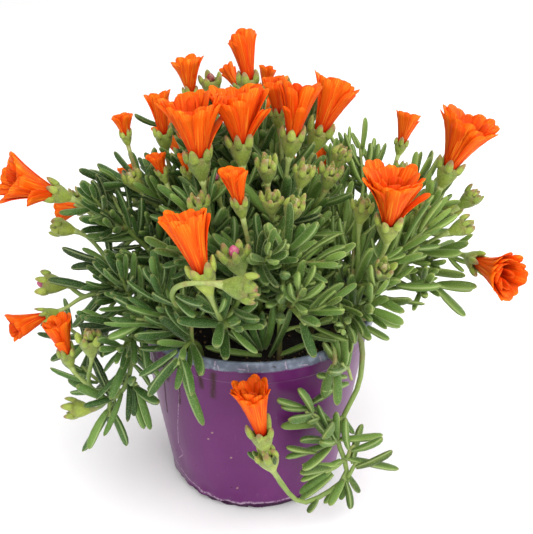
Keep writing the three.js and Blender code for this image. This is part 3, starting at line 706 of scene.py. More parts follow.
soilShape = {
    "gap": 0.3,
    "edgeHeight": 92.0,
    "crownHeight": 98.0,
    "shoulderRadius": 36.0,
    "shoulderHeight": 96.5,
    "sides": 96,
    "rings": 26,
    "innermost": 1.5,
    "bottomRadius": 20,
    "bottomInset": 3.2,
    "bottomRise": 3,
    "roughness": 1.6,
    "roughScale": 0.16,
    "groundTone": 0.25,
    "crumbs": 2400,
    "crumbSizes": (0.5, 2.4),
    "crumbStretch": [(0.6, 1.3), (0.6, 1.3), (0.4, 0.9)],
    "crumbRise": 0.3,
    "crumbReach": 0.95,
    "smallerPower": 2.5,
    "rimShare": 0.7,
    "rimBand": 16.0,
    "rimInset": 1.5,
    "rimPower": 1.6,
    "paleFrom": 0.75,
    "rimPaleFrom": 0.5,
    "paleTones": (0.55, 0.45),
    "darkTones": (0.3, 0.3),
    "fibres": 130,
    "fibreStretch": [(2, 5), (0.15, 0.35), (0.15, 0.3)],
    "fibreReach": 0.96,
    "fibreRise": 0.9,
    "fibreLean": 0.25,
    "fibreTone": (0.6, 0.95),
    "seed": 5,
}

soilLook = {
    "roughness": 0.9,
    "tones": [(0.0, (0.006, 0.004, 0.003)), (0.55, (0.022, 0.014, 0.009)), (0.8, (0.08, 0.046, 0.02)),
              (1.0, (0.36, 0.22, 0.09))],
    "mottle": {"Scale": 900.0, "Amount": 0.5},
    "clodScale": 1300.0,
    "relief": (0.7, 0.0008),
}


def soilEdge():
    return wallRadius(soilShape["edgeHeight"]) - potShape["wall"] - soilShape["gap"]


def soilTop(radius):
    soil = soilShape
    if radius < soil["shoulderRadius"]:
        return soil["crownHeight"] + (soil["shoulderHeight"] - soil["crownHeight"]) * radius / soil["shoulderRadius"]
    share = (radius - soil["shoulderRadius"]) / (soilEdge() - soil["shoulderRadius"])
    return soil["shoulderHeight"] + (soil["edgeHeight"] - soil["shoulderHeight"]) * share


def onSoil(radius, turn, rise):
    return np.array([radius * math.cos(turn), radius * math.sin(turn), soilTop(radius) + rise])


def makeSoilPeat(look):
    material, tree, shader = startMaterial("soilPeat", look["roughness"])
    base = ramp(tree, own(tree, "tone"), look["tones"])
    colour = useGroup(tree, mottle, Color=base, **look["mottle"])["Color"]
    dress(tree, shader, colour, bumpOf(tree, cloudsOf(tree, look["clodScale"], 5.0), *look["relief"]))
    return material


def makeSoil(soil, finish):
    draw = random.Random(soil["seed"])
    edge = soilEdge()
    bottom = potShape["floorTop"] + soil["gap"]
    rise = potShape["cornerHeight"] + soil["bottomRise"]
    inner = [(soilTop(r), r) for r in np.linspace(edge, soil["innermost"], soil["rings"])]
    side = [(bottom, soil["bottomRadius"]), (bottom, potShape["foot"] - soil["bottomInset"]),
            (rise, wallRadius(rise) - potShape["wall"] - soil["gap"])]
    ground = asArrays(drawUp(soil["sides"], side + inner), lambda p: p[:, :2])
    places, fine = ground["places"], soil["roughScale"]
    for i, (x, y, z) in enumerate(places):
        if z > soil["edgeHeight"] - 1:
            places[i, 2] += soil["roughness"] * noise.fractal(Vector((x * fine, y * fine, 2)), 0.8, 2.1, 4)
    heap = newHeap()
    pour(heap, ground, places, 0, soil["groundTone"])
    crumb = makeCrumb()
    small, large = soil["crumbSizes"]
    for i in range(soil["crumbs"]):
        rim = draw.random() < soil["rimShare"]
        inward = soil["rimBand"] * draw.random() ** soil["rimPower"] if rim else draw.random()
        radius = edge - soil["rimInset"] - inward if rim else edge * math.sqrt(inward) * soil["crumbReach"]
        turn = draw.uniform(0, fullTurn)
        size = small + (large - small) * draw.random() ** soil["smallerPower"]
        stretch = np.array([draw.uniform(*ends) for ends in soil["crumbStretch"]]) * size
        tone = draw.random()
        low, more = soil["paleTones" if tone > soil["rimPaleFrom" if rim else "paleFrom"] else "darkTones"]
        lying = turned(crumb["places"] * stretch, draw)
        pour(heap, crumb, lying + onSoil(radius, turn, soil["crumbRise"] * size), 0, low + more * tone)
    for i in range(soil["fibres"]):
        radius = edge * math.sqrt(draw.random()) * soil["fibreReach"]
        turn = draw.uniform(0, fullTurn)
        lying = crumb["places"] * np.array([draw.uniform(*ends) for ends in soil["fibreStretch"]])
        spin = draw.uniform(0, fullTurn)
        lean = draw.uniform(-soil["fibreLean"], soil["fibreLean"])
        lying = lying @ rotation(1, lean).T @ rotation(2, spin).T
        pour(heap, crumb, lying + onSoil(radius, turn, soil["fibreRise"]), 0, draw.uniform(*soil["fibreTone"]))
    settle("potting_soil", heap, [finish], "soil", "soil")
    print("soil made:", heap["count"], "points")


def rotation(axis, angle):
    c, s = math.cos(angle), math.sin(angle)
    turn = np.eye(3)
    i, j = [(1, 2), (2, 0), (0, 1)][axis]
    turn[i, i] = turn[j, j] = c
    turn[i, j], turn[j, i] = -s, s
    return turn


# Turned to lie any way up
def turned(places, draw):
    return places @ rotation(0, draw.uniform(0, looseTurn)).T @ rotation(2, draw.uniform(0, looseTurn)).T


def makeCrumb():
    clearSelection()
    bpy.ops.mesh.primitive_ico_sphere_add(subdivisions=1, radius=0.5)
    crumb = bpy.context.object
    bpy.ops.object.mode_set(mode="EDIT")
    bpy.ops.mesh.select_all(action="SELECT")
    bpy.ops.transform.vertex_random(offset=0.16, seed=3)
    bpy.ops.object.mode_set(mode="OBJECT")
    return asArrays(crumb, lambda p: p[:, :2])


makeSoil(soilShape, makeSoilPeat(soilLook))

# Where everything grows: each stem's foot in the soil, the points it passes and what its shoots end in


def bloom(at, toward, long, wide):
    return {"kind": "bloom", "at": at, "toward": toward, "long": long, "wide": wide}


def bud(at, toward, long=9, heart=0.0):
    return {"kind": "bud", "at": at, "toward": toward, "long": long, "heart": heart}


def tuft(at, toward):
    return {"kind": "tuft", "at": at, "toward": toward}


# forks: the points passed, counted from 1, that the side shoots leave from; bare: no leaves of its own
def stem(name, root, ends, via=(), more=(), forks=(), bare=False):
    return {"name": name, "root": root, "ends": ends, "via": via, "more": more, "forks": forks, "bare": bare}


stems = [
    stem("top", (0, 10), [bloom((-2, 5, 226), (-3, 4, 23), 23, 14), bud((-21, 18, 222), (-1, 0, 10), 10, heart=1)]),
    stem("top_left", (-16, 20), [bloom((-31, 15, 217), (-2, 3, 16), 17, 15)],
         more=[tuft((-44, 34, 194), (-2, 1, 6))]),
    stem("behind_top", (-4, 32), [bloom((-9, 40, 212), (-5, 5, 8), 12, 8), bloom((6, 32, 213), (1, 2, 11), 12, 8)]),
    stem("left_shoulder", (-26, 8), [bloom((-45, 10, 197), (-2, 2, 21), 21, 12)],
         more=[bud((-60, -6, 180), (-4, -1, 8))]),
    stem("left_outer", (-34, 18), [bloom((-64, 10, 196), (-2, 2, 11), 11, 10),
                                   bloom((-68, 35, 157), (-3, 4, 12), 12, 9), bud((-79, 20, 170), (-2, 0, 10))],
         more=[bud((-86, 8, 162), (-3, -1, 8))]),
    stem("far_left", (-42, -2), [bloom((-97, -20, 178), (-20, -5, 10), 23, 23),
                                 bloom((-92, 15, 153), (-12, 5, -2), 14, 12), tuft((-76, -8, 130), (-6, -2, 4))],
         more=[bud((-88, 0, 168), (-3, 0, 8))]),
    stem("big_left", (-14, -16), [bloom((-24, -40, 204), (-4, 4, 26), 27, 27),
                                  bloom((-31, -24, 191), (-1, 1, 7), 8, 6),
                                  bloom((-43, -20, 188), (-3, 1, 9), 10, 9)]),
    stem("big_centre", (-2, -14), [bloom((-5, -30, 207), (-1, 4, 25), 25, 28),
                                   bud((-17, -36, 192), (-1, 0, 8), heart=0.6)]),
    stem("centre_right", (10, 6), [bloom((12, -4, 212), (-2, 4, 16), 17, 12), bud((14, 12, 220), (1, 0, 8))]),
    stem("big_right", (14, -18), [bloom((19, -20, 207), (4, 3, 24), 25, 20), bud((7, -42, 201), (0, -1, 8)),
                                  bud((24, -34, 195), (2, -1, 9))],
         more=[bud((9, -56, 191), (0, -2, 8))]),
    stem("right_shoulder", (24, 2), [bloom((33, 0, 202), (9, 5, 24), 26, 21), bud((43, -10, 194), (4, -1, 8)),
                                     bud((37, -25, 190), (2, -1, 8))]),
    stem("right_back", (32, 26), [bloom((84, 70, 169), (4, 5, 16), 17, 15), bud((84, 55, 160), (3, 0, 8))]),
    stem("right_tall", (40, 6), [bloom((98, 0, 183), (9, 4, 26), 27, 31), bud((112, 2, 166), (8, 0, 7))],
         more=[bud((84, -15, 167), (2, 0, 8)), bud((104, 12, 154), (5, 2, 5))]),
    stem("right_open", (30, -22), [bloom((63, -45, 174), (0, -4, 26), 26, 28), bud((60, -60, 158), (1, -4, 7))],
         more=[bud((52, -32, 176), (1, 0, 8))]),
    stem("right_end", (44, -12), [bloom((116, -10, 134), (11, -25, 3), 27, 22), bud((104, -24, 162), (8, -1, 4)),
                                  tuft((98, -14, 122), (10, 0, -2))]),
    stem("centre_small", (4, -32), [bloom((-5, -62, 191), (-3, 2, 15), 16, 12), bud((-24, -50, 186), (-1, -1, 9)),
                                    bud((19, -60, 190), (2, -1, 8))]),
    stem("centre_left", (-14, -38), [bloom((-21, -85, 170), (-8, 3, 26), 27, 22),
                                     bud((-7, -80, 176), (-3, -1, 12), 12, heart=0.6)]),
    stem("front_arch", (-19, -31), [bud((-1, -95, 167), (12, -1, -2), 12, heart=0.2)],
         via=[(-34, -72, 146), (-30, -90, 166)], bare=True),
    stem("lower_left_out", (-46, -14), [bloom((-107, -25, 111), (-16, -8, -2), 18, 14),
                                        bud((-108, -14, 124), (-10, 0, 1), 11, heart=0.6),
                                        bud((-100, -5, 152), (-8, 0, 2)), tuft((-90, -22, 88), (-6, -2, -5))],
         via=[(-62, -17, 122), (-86, -20, 120)], forks=(2, 1, 1)),
    stem("lower_left", (-38, -28), [bloom((-93, -45, 102), (-4, 2, 18), 19, 14),
                                    bud((-79, -53, 116), (0, -1, 12), 11),
                                    bud((-95, -38, 62), (-10, 2, -1), 10), tuft((-74, -52, 68), (-4, -1, -8)),
                                    tuft((-58, -54, 90), (1, -2, 8))],
         via=[(-55, -37, 118), (-63, -47, 88), (-72, -48, 76), (-82, -48, 83)], forks=(4, 3, 3, 2)),
    stem("trailing_bloom", (39, -30), [bloom((4, -76, 77), (-5, 1, 27), 27, 18), tuft((26, -64, 80), (-6, -2, 4)),
                                       tuft((40, -58, 60), (-4, -2, 8)), tuft((37, -59, 55), (-8, -2, 1)),
                                       tuft((52, -56, 52), (9, -1, 1)), tuft((37, -60, 38), (-7, -2, -3)),
                                       tuft((55, -55, 40), (9, 0, -3)), tuft((46, -60, 28), (-2, -2, -8))],
         via=[(49, -44, 117), (54, -46, 88), (46, -51, 67), (43, -53, 54), (47, -53, 42), (48, -56, 32),
              (38, -62, 26), (25, -68, 25), (15, -72, 40)],
         forks=(3, 4, 4, 5, 5, 6, 6), bare=True, more=[bud((6.6, -76.4, 63.5), (-6, -2, 20), 11, heart=0.1)]),
    stem("trailing_leaves", (28, -41), [tuft((49, -51, 90), (2, 1, -6)), tuft((43, -60, 106), (-2, -2, 8)),
                                        tuft((38, -64, 104), (-3, -3, -5))],
         via=[(36, -54, 118), (46, -53, 100)], forks=(2, 1), bare=True),
    stem("front_left", (-26, -42), [tuft((-34, -76, 116), (-1, -6, -6)), tuft((-54, -62, 132), (-6, -5, 2))]),
    stem("front_centre", (13, -43), [tuft((16, -72, 176), (1, -4, 8)), tuft((24, -76, 138), (3, -7, -1))]),
    stem("front_right", (44, -22), [tuft((57, -56, 134), (3, -5, 2)), tuft((72, -36, 138), (5, -2, 4)),
                                    tuft((56, -36, 116), (2, -2, 1))]),
    stem("back_right", (22, 36), [bloom((36, 74, 138), (4, 9, 20), 25, 20)], more=[tuft((66, 52, 144), (5, 4, 2))]),
    stem("back_centre", (4, 44), [bloom((8, 74, 170), (0, 12, 20), 26, 24), bud((24, 78, 154), (2, 5, 6))]),
    stem("back_left", (-24, 36), [bloom((-42, 66, 164), (-8, 12, 16), 24, 20)],
         more=[tuft((-72, 58, 128), (-6, 5, 0))]),
    stem("back_low", (-8, 48), [bloom((14, 100, 132), (4, 20, 8), 24, 18), tuft((-26, 94, 120), (-2, 8, -1))],
         more=[tuft((40, 84, 116), (4, 7, 0))]),
]

stemPlan = {
    "radius": 2.0,
    "tipRadius": 1.5,
    "neckLength": 18.0,
    "lastFork": 0.8,
    "spanSteps": 16,
    "forkShare": 0.45,
    "forkStep": 0.08,
    "steepHeading": 0.9,
    "rootDepth": 8.0,
    "rootRise": 3.0,
}

leafPlan = {
    "length": 27.0,
    "leastShare": 0.8,
    "youngShare": 0.8,
    "width": 5.6,
    "curve": 0.12,
    "spacing": 16.5,
    "bareFoot": 20.0,
    "sideBareShare": 0.25,
    "bareNeck": 24.0,
    "tuftNeck": 3.0,
    "fullTiltAt": 40.0,
    "tilt": math.radians(52),
    "tipTilt": math.radians(32),
    "bractLength": 12.0,
    "bractWidth": 3.4,
    "bractAt": 12.0,
    "lowest": 20.0,
    "stations": np.array([0.25, 0.4, 0.55, 0.7, 0.85, 1.0]),
    "rootedShare": 0.5,
    "turnTries": [math.radians(a) for a in (0, 20, -20, 40, -40, 62)],
    "tiltTries": [math.radians(a) for a in (0, -14, 14)],
    "sizeTries": [1, 0.78],
    "passGap": 0.5,
    "seed": 7,
}

cupPlan = {
    "depth": 10.0,
    "radius": 5.4,
    "sepalLength": 10.0,
    "leastScale": 0.5,
    "fullBud": 11.0,
    "fullBloom": 26.0,
    "largeBloom": 20.0,
}


# The same draws as the solid stems were grown with, so that the fine leaves lie on theirs
def seededDraws(seed):
    state, factor, step, states = seed, 1664525, 1013904223, 2 ** 32
    while True:
        state = (state * factor + step) % states
        yield state / states


def unit(vector):
    vector = np.asarray(vector, float)
    return vector / np.linalg.norm(vector)


def squareTo(vector, along):
    return unit(vector - along * (vector @ along))


# The first direction swung toward the second
def swung(first, second, angle):
    return first * math.cos(angle) + second * math.sin(angle)


def blendOf(first, second, share):
    return first + (second - first) * share


def runThrough(knots, startHeading, endHeading):
    points = []
    steps = stemPlan["spanSteps"]
    for span in range(len(knots) - 1):
        start, stop = knots[span], knots[span + 1]
        reach = np.linalg.norm(stop - start)
        leave = unit(startHeading if span == 0 else stop - knots[span - 1]) * reach
        arrive = unit(endHeading if span == len(knots) - 2 else knots[span + 2] - start) * reach
        for i in range(0 if span == 0 else 1, steps + 1):
            t = i / steps
            points.append(start * (1 + 2 * t) * (1 - t) ** 2 + leave * t * (1 - t) ** 2
                          + stop * t * t * (3 - 2 * t) + arrive * t * t * (t - 1))
    return np.array(points)


def trackOf(points):
    before = np.vstack([points[:1], points[:-1]])
    after = np.vstack([points[1:], points[-1:]])
    headings = after - before
    headings /= np.linalg.norm(headings, axis=1)[:, None]
    helper = up if abs(headings[0][2]) < stemPlan["steepHeading"] else np.array([1.0, 0, 0])
    side = np.cross(helper, headings[0])
    sides = []
    for heading in headings:
        side = squareTo(side, heading)
        sides.append(side)
    steps = np.linalg.norm(np.diff(points, axis=0), axis=1)
    return {"points": points, "headings": headings, "sides": np.array(sides),
            "distances": np.concatenate([[0], np.cumsum(steps)])}


def lengthOf(track):
    return track["distances"][-1]


def placeAt(track, distance):
    distances = track["distances"]
    after = min(max(1, int(np.searchsorted(distances, distance))), len(distances) - 1)
    share = (distance - distances[after - 1]) / (distances[after] - distances[after - 1])
    point, heading, side = (blendOf(track[key][after - 1], track[key][after], share)
                            for key in ("points", "headings", "sides"))
    heading = unit(heading)
    side = squareTo(side, heading)
    return {"point": point, "heading": heading, "side": side, "across": np.cross(heading, side)}


def cupScale(end):
    if end["kind"] == "bud":
        return min(1, end["long"] / cupPlan["fullBud"])
    return min(1, max(cupPlan["leastScale"], end["long"] / cupPlan["fullBloom"]))


def leafPoints(leaf, t):
    t = np.asarray(t)[:, None]
    return leaf["root"] + leaf["along"] * leaf["length"] * t + leaf["face"] * leaf["length"] * leaf["curve"] * t * t


# shares of a flower, bud or cup that its balls of room lie at and swell to
endRoom = {"cupBack": 0.4, "budAt": 0.3, "sepals": 0.35, "from": 0.1, "to": 0.9, "step": 0.15, "swell": 0.55}

# Balls that stand for the room each thing takes up
crowd = {"count": 0, "centres": np.zeros((60000, 3)), "radii": np.zeros(60000), "owners": np.zeros(60000, int)}


def take(centre, radius, owner):
    i = crowd["count"]
    crowd["centres"][i] = centre
    crowd["radii"][i] = radius
    crowd["owners"][i] = owner
    crowd["count"] += 1


def takeRun(track, owner):
    distance = 0
    while distance < lengthOf(track):
        take(placeAt(track, distance)["point"], stemPlan["radius"], owner)
        distance += stemPlan["radius"]


# A flower's owner number is its stem's with the sign turned
def takeEnd(end, owner):
    if end["kind"] == "tuft":
        return
    toward, at, scale = unit(end["toward"]), np.array(end["at"], float), cupScale(end)
    take(at - toward * cupPlan["depth"] * scale * endRoom["cupBack"], cupPlan["radius"] * scale, owner)
    if end["kind"] == "bud":
        take(at + toward * end["long"] * endRoom["budAt"], cupPlan["radius"] * scale, owner)
        return
    sepals = (cupPlan["radius"] + cupPlan["sepalLength"] * endRoom["sepals"]) * scale
    share = endRoom["from"]
    while share < endRoom["to"]:
        take(at + toward * end["long"] * share, max(end["wide"] * share * endRoom["swell"], sepals), -owner)
        share += endRoom["step"]


def clearOfPot(point, radius):
    room = radius + leafPlan["passGap"]
    out = math.hypot(point[0], point[1])
    if point[2] < max(room, leafPlan["lowest"]):
        return False
    if point[2] > potShape["height"] + room:
        return True
    skin = potShape["rim"] if point[2] > potShape["shoulderHeight"] - room else wallRadius(point[2])
    if out > skin + room:
        return True
    inside = wallRadius(soilShape["edgeHeight"]) - potShape["wall"] - room
    return out < inside and point[2] > soilTop(out) + room


def nearby(centre, reach):
    n = crowd["count"]
    away = ((crowd["centres"][:n] - centre) ** 2).sum(1)
    near = away < (reach + crowd["radii"][:n]) ** 2
    return crowd["centres"][:n][near], crowd["radii"][:n][near], crowd["owners"][:n][near]


def leafIsClear(leaf, owner, gap, near):
    centres, radii, owners = near
    radius = leaf["width"] / 2
    stations = leafPlan["stations"]
    points = leafPoints(leaf, stations)
    if not all(clearOfPot(point, radius) for point in points):
        return False
    away = ((points[:, None, :] - centres[None, :, :]) ** 2).sum(-1)
    close = away <= (radius + radii + gap) ** 2
    close[stations < leafPlan["rootedShare"]] &= owners != owner
    return not close.any()


def keepLeaf(leaf, owner):
    for point in leafPoints(leaf, leafPlan["stations"]):
        take(point, leaf["width"] / 2, owner)
    return leaf


def leafOf(root, along, face, length, width, curve, young=0.0):
    return {"root": root, "along": along, "face": face, "length": length, "width": width, "curve": curve,
            "young": young, "sway": 0.0}


def leafFrom(place, turn, tilt, length, width, curve):
    outward = swung(place["side"], place["across"], turn)
    along = swung(place["heading"], outward, tilt)
    root = place["point"] + outward * stemPlan["tipRadius"] * math.sqrt(0.5)
    return leafOf(root, along, squareTo(place["heading"], along), length, width, curve)


def placeLeaf(place, turn, tilt, length, width, owner, gap, curve=leafPlan["curve"]):
    near = nearby(place["point"], length * 1.1 + width + 2)
    for size in leafPlan["sizeTries"]:
        for tiltMore in leafPlan["tiltTries"]:
            for turnMore in leafPlan["turnTries"]:
                leaf = leafFrom(place, turn + turnMore, tilt + tiltMore, length * size, width, curve)
                if leafIsClear(leaf, owner, gap, near):
                    return keepLeaf(leaf, owner)
    return None


# Where a run stops: under the cup of its flower or bud, or at the tip of a tuft
def goalOf(end, heading):
    neck = 0 if end["kind"] == "tuft" else cupPlan["depth"] * cupScale(end)
    return np.array(end["at"], float) - heading * neck


def forkedTrack(plant, main, order, end):
    heading = unit(end["toward"])
    goal = goalOf(end, heading)
    if order <= len(plant["forks"]):
        distance = main["distances"][1 + plant["forks"][order - 1] * stemPlan["spanSteps"]]
    else:
        distance = lengthOf(main) * min(stemPlan["lastFork"], stemPlan["forkShare"] + stemPlan["forkStep"] * order)
    fork = placeAt(main, distance)
    leave = unit(goal - fork["point"]) + fork["heading"]
    return trackOf(runThrough([fork["point"], goal], leave, heading))


def runsOf(plant):
    x, y = plant["root"]
    top = soilTop(math.hypot(x, y))
    foot = np.array([x, y, top - stemPlan["rootDepth"]])
    start = np.array([x, y, top + stemPlan["rootRise"]])
    end = plant["ends"][0]
    heading = unit(end["toward"])
    knots = [start, *(np.array(p, float) for p in plant["via"]), goalOf(end, heading)]
    main = trackOf(np.vstack([foot, runThrough(knots, up, heading)]))
    runs = [{"end": end, "main": True, "bare": plant["bare"], "track": main}]
    for order, end in enumerate(plant["ends"][1:], 1):
        runs.append({"end": end, "main": False, "track": forkedTrack(plant, main, order, end)})
    return runs


def solidLeaves(run, owner, draw):
    plan, track = leafPlan, run["track"]
    length = lengthOf(track)
    nodes = []

    def addPair(back, tilt, long, width):
        place = placeAt(track, length - back)
        faces = (0, 2) if len(nodes) % 2 == 0 else (1, 3)
        leaves = [placeLeaf(place, math.pi / 2 * (face + 1), tilt, long, width, owner, plan["passGap"])
                  for face in faces]
        nodes.append({"back": back, "tilt": tilt, "turn": math.pi / 2 * (faces[0] + 1),
                      "leaves": [leaf for leaf in leaves if leaf]})

    if run["end"]["kind"] == "bloom" and run["end"]["long"] > cupPlan["largeBloom"] and length > 2 * plan["bareNeck"]:
        addPair(plan["bractAt"], plan["tipTilt"], plan["bractLength"], plan["bractWidth"])
    back = plan["tuftNeck"] if run["end"]["kind"] == "tuft" else plan["bareNeck"]
    bare = plan["bareFoot"] + stemPlan["rootDepth"] if run["main"] else plan["sideBareShare"] * length
    while back < length - bare and not run.get("bare"):
        growth = plan["youngShare"] if back < plan["spacing"] / 2 else 1
        long = plan["length"] * growth * blendOf(plan["leastShare"], 1, next(draw))
        addPair(back, blendOf(plan["tipTilt"], plan["tilt"], min(1, back / plan["fullTiltAt"])), long, plan["width"])
        back += plan["spacing"]
    return nodes


for number, plant in enumerate(stems, 1):
    plant["owner"] = number
    plant["runs"] = runsOf(plant)
for plant in stems:
    for run in plant["runs"]:
        takeRun(run["track"], plant["owner"])
        takeEnd(run["end"], plant["owner"])
leafDraw = seededDraws(leafPlan["seed"])
for plant in stems:
    for run in plant["runs"]:
        run["nodes"] = solidLeaves(run, plant["owner"], leafDraw)
        run["leaves"] = [leaf for node in run["nodes"] for leaf in node["leaves"]]
print("leaves of the solids:", sum(len(run["leaves"]) for plant in stems for run in plant["runs"]))

# Finer growth between the solid leaves

fillPlan = {
    "seed": 21,
    "loneYoung": 0.1,
    "axilFoot": 0.8,
    "axilYoung": 0.5,
    "axilRoom": 8,
    "shootCheck": 4,
    "shootTuft": 6,
    "shootAhead": 6,
    "shootSpring": 2,
    # distances from a shoot's tip: its first pair, and where leaves are full, fully spread and no longer young
    "shootFirst": 1.5,
    "shootFull": 14,
    "shootSpread": 26,
    "shootYoung": 16,
    "shootSmall": 0.65,
    "gap": -1.2,
    "loneCurve": 0.06,
    "length": (13, 26),
    "width": (3.1, 4.4),
    "betweenShares": (0.33, 0.67),
    "betweenTurn": math.radians(45),
    "betweenTilt": (-0.2, 0.15),
    "betweenCurve": (0.0, 0.2),
    "bareFoot": 8.0,
    "axilLength": (10, 18),
    "axilWidth": (3.0, 4.2),
    "axilLean": math.radians(34),
    "axilOpen": math.radians(20),
    "axilShare": 0.85,
    "axilFlankShare": 0.6,
    "axilCurve": 0.1,
    "shootLength": (16, 46),
    "shootTilt": (25, 75),
    "shootLift": 0.4,
    "shootFoot": 12.0,
    "shootBare": 7.0,
    "shootLeafTilt": (0.3, 0.75),
    "shootLeafSway": (-0.08, 0.12),
    "shootLeafCurve": (0.02, 0.24),
    "shootStep": 6.5,
    "shootReach": 20.0,
    "shootPairs": 5.0,
    "shootGap": -0.8,
    "shootTries": 8,
    "lowestRise": 0.05,
    # rooms that the photo shows empty: low and high x, y and z
    "openRooms": [
        (-150, -88, -60, 40, 100, 157),
        (56, 150, -60, 60, 90, 127),
        (38, 72, -30, 60, 168, 220),
        (-70, -42, 0, 60, 205, 240),
        (-32, 36, -95, -44, 90, 142),
        (-24, 26, -44, -26, 90, 118),
        (96, 150, -60, 60, 90, 140),
        (103, 150, -60, 60, 140, 176),
    ],
}

# Single leaves that hang or stand out, by stem: foot, tip and width
loneLeaves = {
    "lower_left": [
        ((-72, -49, 74), (-87, -54, 46), 5.0), ((-60, -52, 87), (-60, -55, 71), 4.6),
        ((-58, -52, 87), (-52, -58, 65), 5.0), ((-72, -48, 76), (-80, -52, 103), 4.4),
    ],
    "front_left": [
        ((-33, -74, 116), (-25, -81, 85), 5.4), ((-33, -74, 118), (-48, -77, 102), 5.0),
        ((-35, -72, 121), (-52, -74, 107), 5.0),
    ],
    "front_centre": [
        ((4, -42, 98.5), (-24, -47, 105.5), 4.6), ((2, -41, 100), (-18, -52, 121), 3.6),
        ((3, -41, 101), (-10, -54, 126), 4.2), ((4, -41, 101), (-4, -54, 130), 4.6),
        ((5, -41, 102), (3, -52, 129), 4.0), ((6, -41, 102), (12, -52, 133), 4.6),
        ((8, -42, 98), (21, -50, 131), 4.8), ((12, -43, 99), (29, -45, 108), 4.0),
    ],
    "front_arch": [
        ((-32, -84, 158), (-21, -91, 156), 4.4), ((-33, -78, 152), (-24, -88, 149), 4.4),
        ((-34, -72, 146), (-44, -80, 156), 4.2),
    ],
    "right_end": [
        ((92, -16, 125), (112, -18, 122), 4.6),
    ],
    "front_right": [
        ((56, -28, 108), (69, -32, 101), 4.6),
    ],
    "trailing_bloom": [
        ((46, -52, 67), (51, -53, 57), 3.8), ((39, -60, 60), (27, -66, 79), 4.8), ((42, -57, 56), (31, -62, 81), 4.8),
        ((43, -55, 56), (40, -60, 76), 4.6), ((41, -56, 54), (16, -64, 51), 4.6), ((32, -61, 52), (16, -66, 59), 4.2),
        ((44, -54, 55), (66, -56, 57), 5.0), ((47, -54, 43), (75, -55, 36), 5.0), ((45, -55, 42), (24, -66, 37), 4.4),
        ((44, -56, 40), (25, -66, 46), 4.2), ((41, -59, 36), (25, -66, 24), 4.6), ((48, -57, 31), (37, -62, 19), 4.4),
        ((49, -57, 31), (46, -62, 21), 4.2), ((50, -56, 32), (55, -60, 24), 4.2), ((33, -66, 25), (28, -69, 19), 4.2),
        ((24, -62, 82), (11, -68, 90), 4.6), ((28, -61, 80), (14, -67, 84), 4.8), ((28, -60, 82), (42, -60, 92), 4.8),
    ],
    "trailing_leaves": [
        ((45, -54, 98), (32, -60, 118), 5.0), ((45, -54, 98), (38, -58, 120), 5.0),
        ((46, -53, 98), (47, -56, 120), 4.8), ((46, -54, 94), (30, -62, 100), 4.8),
        ((47, -54, 90), (33, -62, 91), 4.8),
    ],
}


def growFiller(plan):
    draw = random.Random(plan["seed"])
    solid = crowd["count"]  # room taken by the solids, which shoots stay near
    byName = {plant["name"]: plant for plant in stems}
    for name, leaves in loneLeaves.items():
        for foot, tip, width in leaves:
            foot, tip = np.array(foot, float), np.array(tip, float)
            along = unit(tip - foot)
            leaf = leafOf(foot, along, unit(np.cross(np.cross(along, up), along)), np.linalg.norm(tip - foot), width,
                          plan["loneCurve"], plan["loneYoung"])
            byName[name]["runs"][0]["leaves"].append(keepLeaf(leaf, byName[name]["owner"]))
    for plant in stems:
        for order, end in enumerate(plant["more"], len(plant["ends"])):
            main = plant["runs"][0]["track"]
            track = forkedTrack(plant, main, order, end)
            plant["runs"].append({"end": end, "main": False, "track": track, "nodes": [], "leaves": []})
            takeRun(track, plant["owner"])
            takeEnd(end, plant["owner"])
    for plant in stems:
        for run in plant["runs"]:
            sproutBetween(run, plant["owner"], plan, draw)
    for plant in stems:
        plant["shoots"] = []
        for run in plant["runs"]:
            sproutShoots(plant, run, plan, draw, solid)
    for plant in stems:
        for run in plant["runs"]:
            sproutAxils(run, plant["owner"], plan, draw)


def inOpenRoom(point, plan):
    x, y, z = point
    return any(a < x < b and c < y < d and e < z < f for a, b, c, d, e, f in plan["openRooms"])


def isWanted(leaf, plan):
    return leaf is not None and not inOpenRoom(leafPoints(leaf, [1.0])[0], plan)


# Pairs between the solid pairs, turned an eighth
def sproutBetween(run, owner, plan, draw):
    length = lengthOf(run["track"])
    nodes = [node for node in run["nodes"] if node["back"] != leafPlan["bractAt"] or run["end"]["kind"] == "tuft"]
    for node in nodes:
        for order, share in enumerate(plan["betweenShares"]):
            back = node["back"] + leafPlan["spacing"] * share
            if length - back < stemPlan["rootDepth"] + plan["bareFoot"]:
                continue
            place = placeAt(run["track"], length - back)
            first = node["turn"] + plan["betweenTurn"] + order * math.pi / 2
            for turn in (first, first + math.pi):
                leaf = placeLeaf(place, turn, node["tilt"] + draw.uniform(*plan["betweenTilt"]),
                                 draw.uniform(*plan["length"]), draw.uniform(*plan["width"]), owner, plan["gap"],
                                 draw.uniform(*plan["betweenCurve"]))
                if isWanted(leaf, plan):
                    run["leaves"].append(leaf)


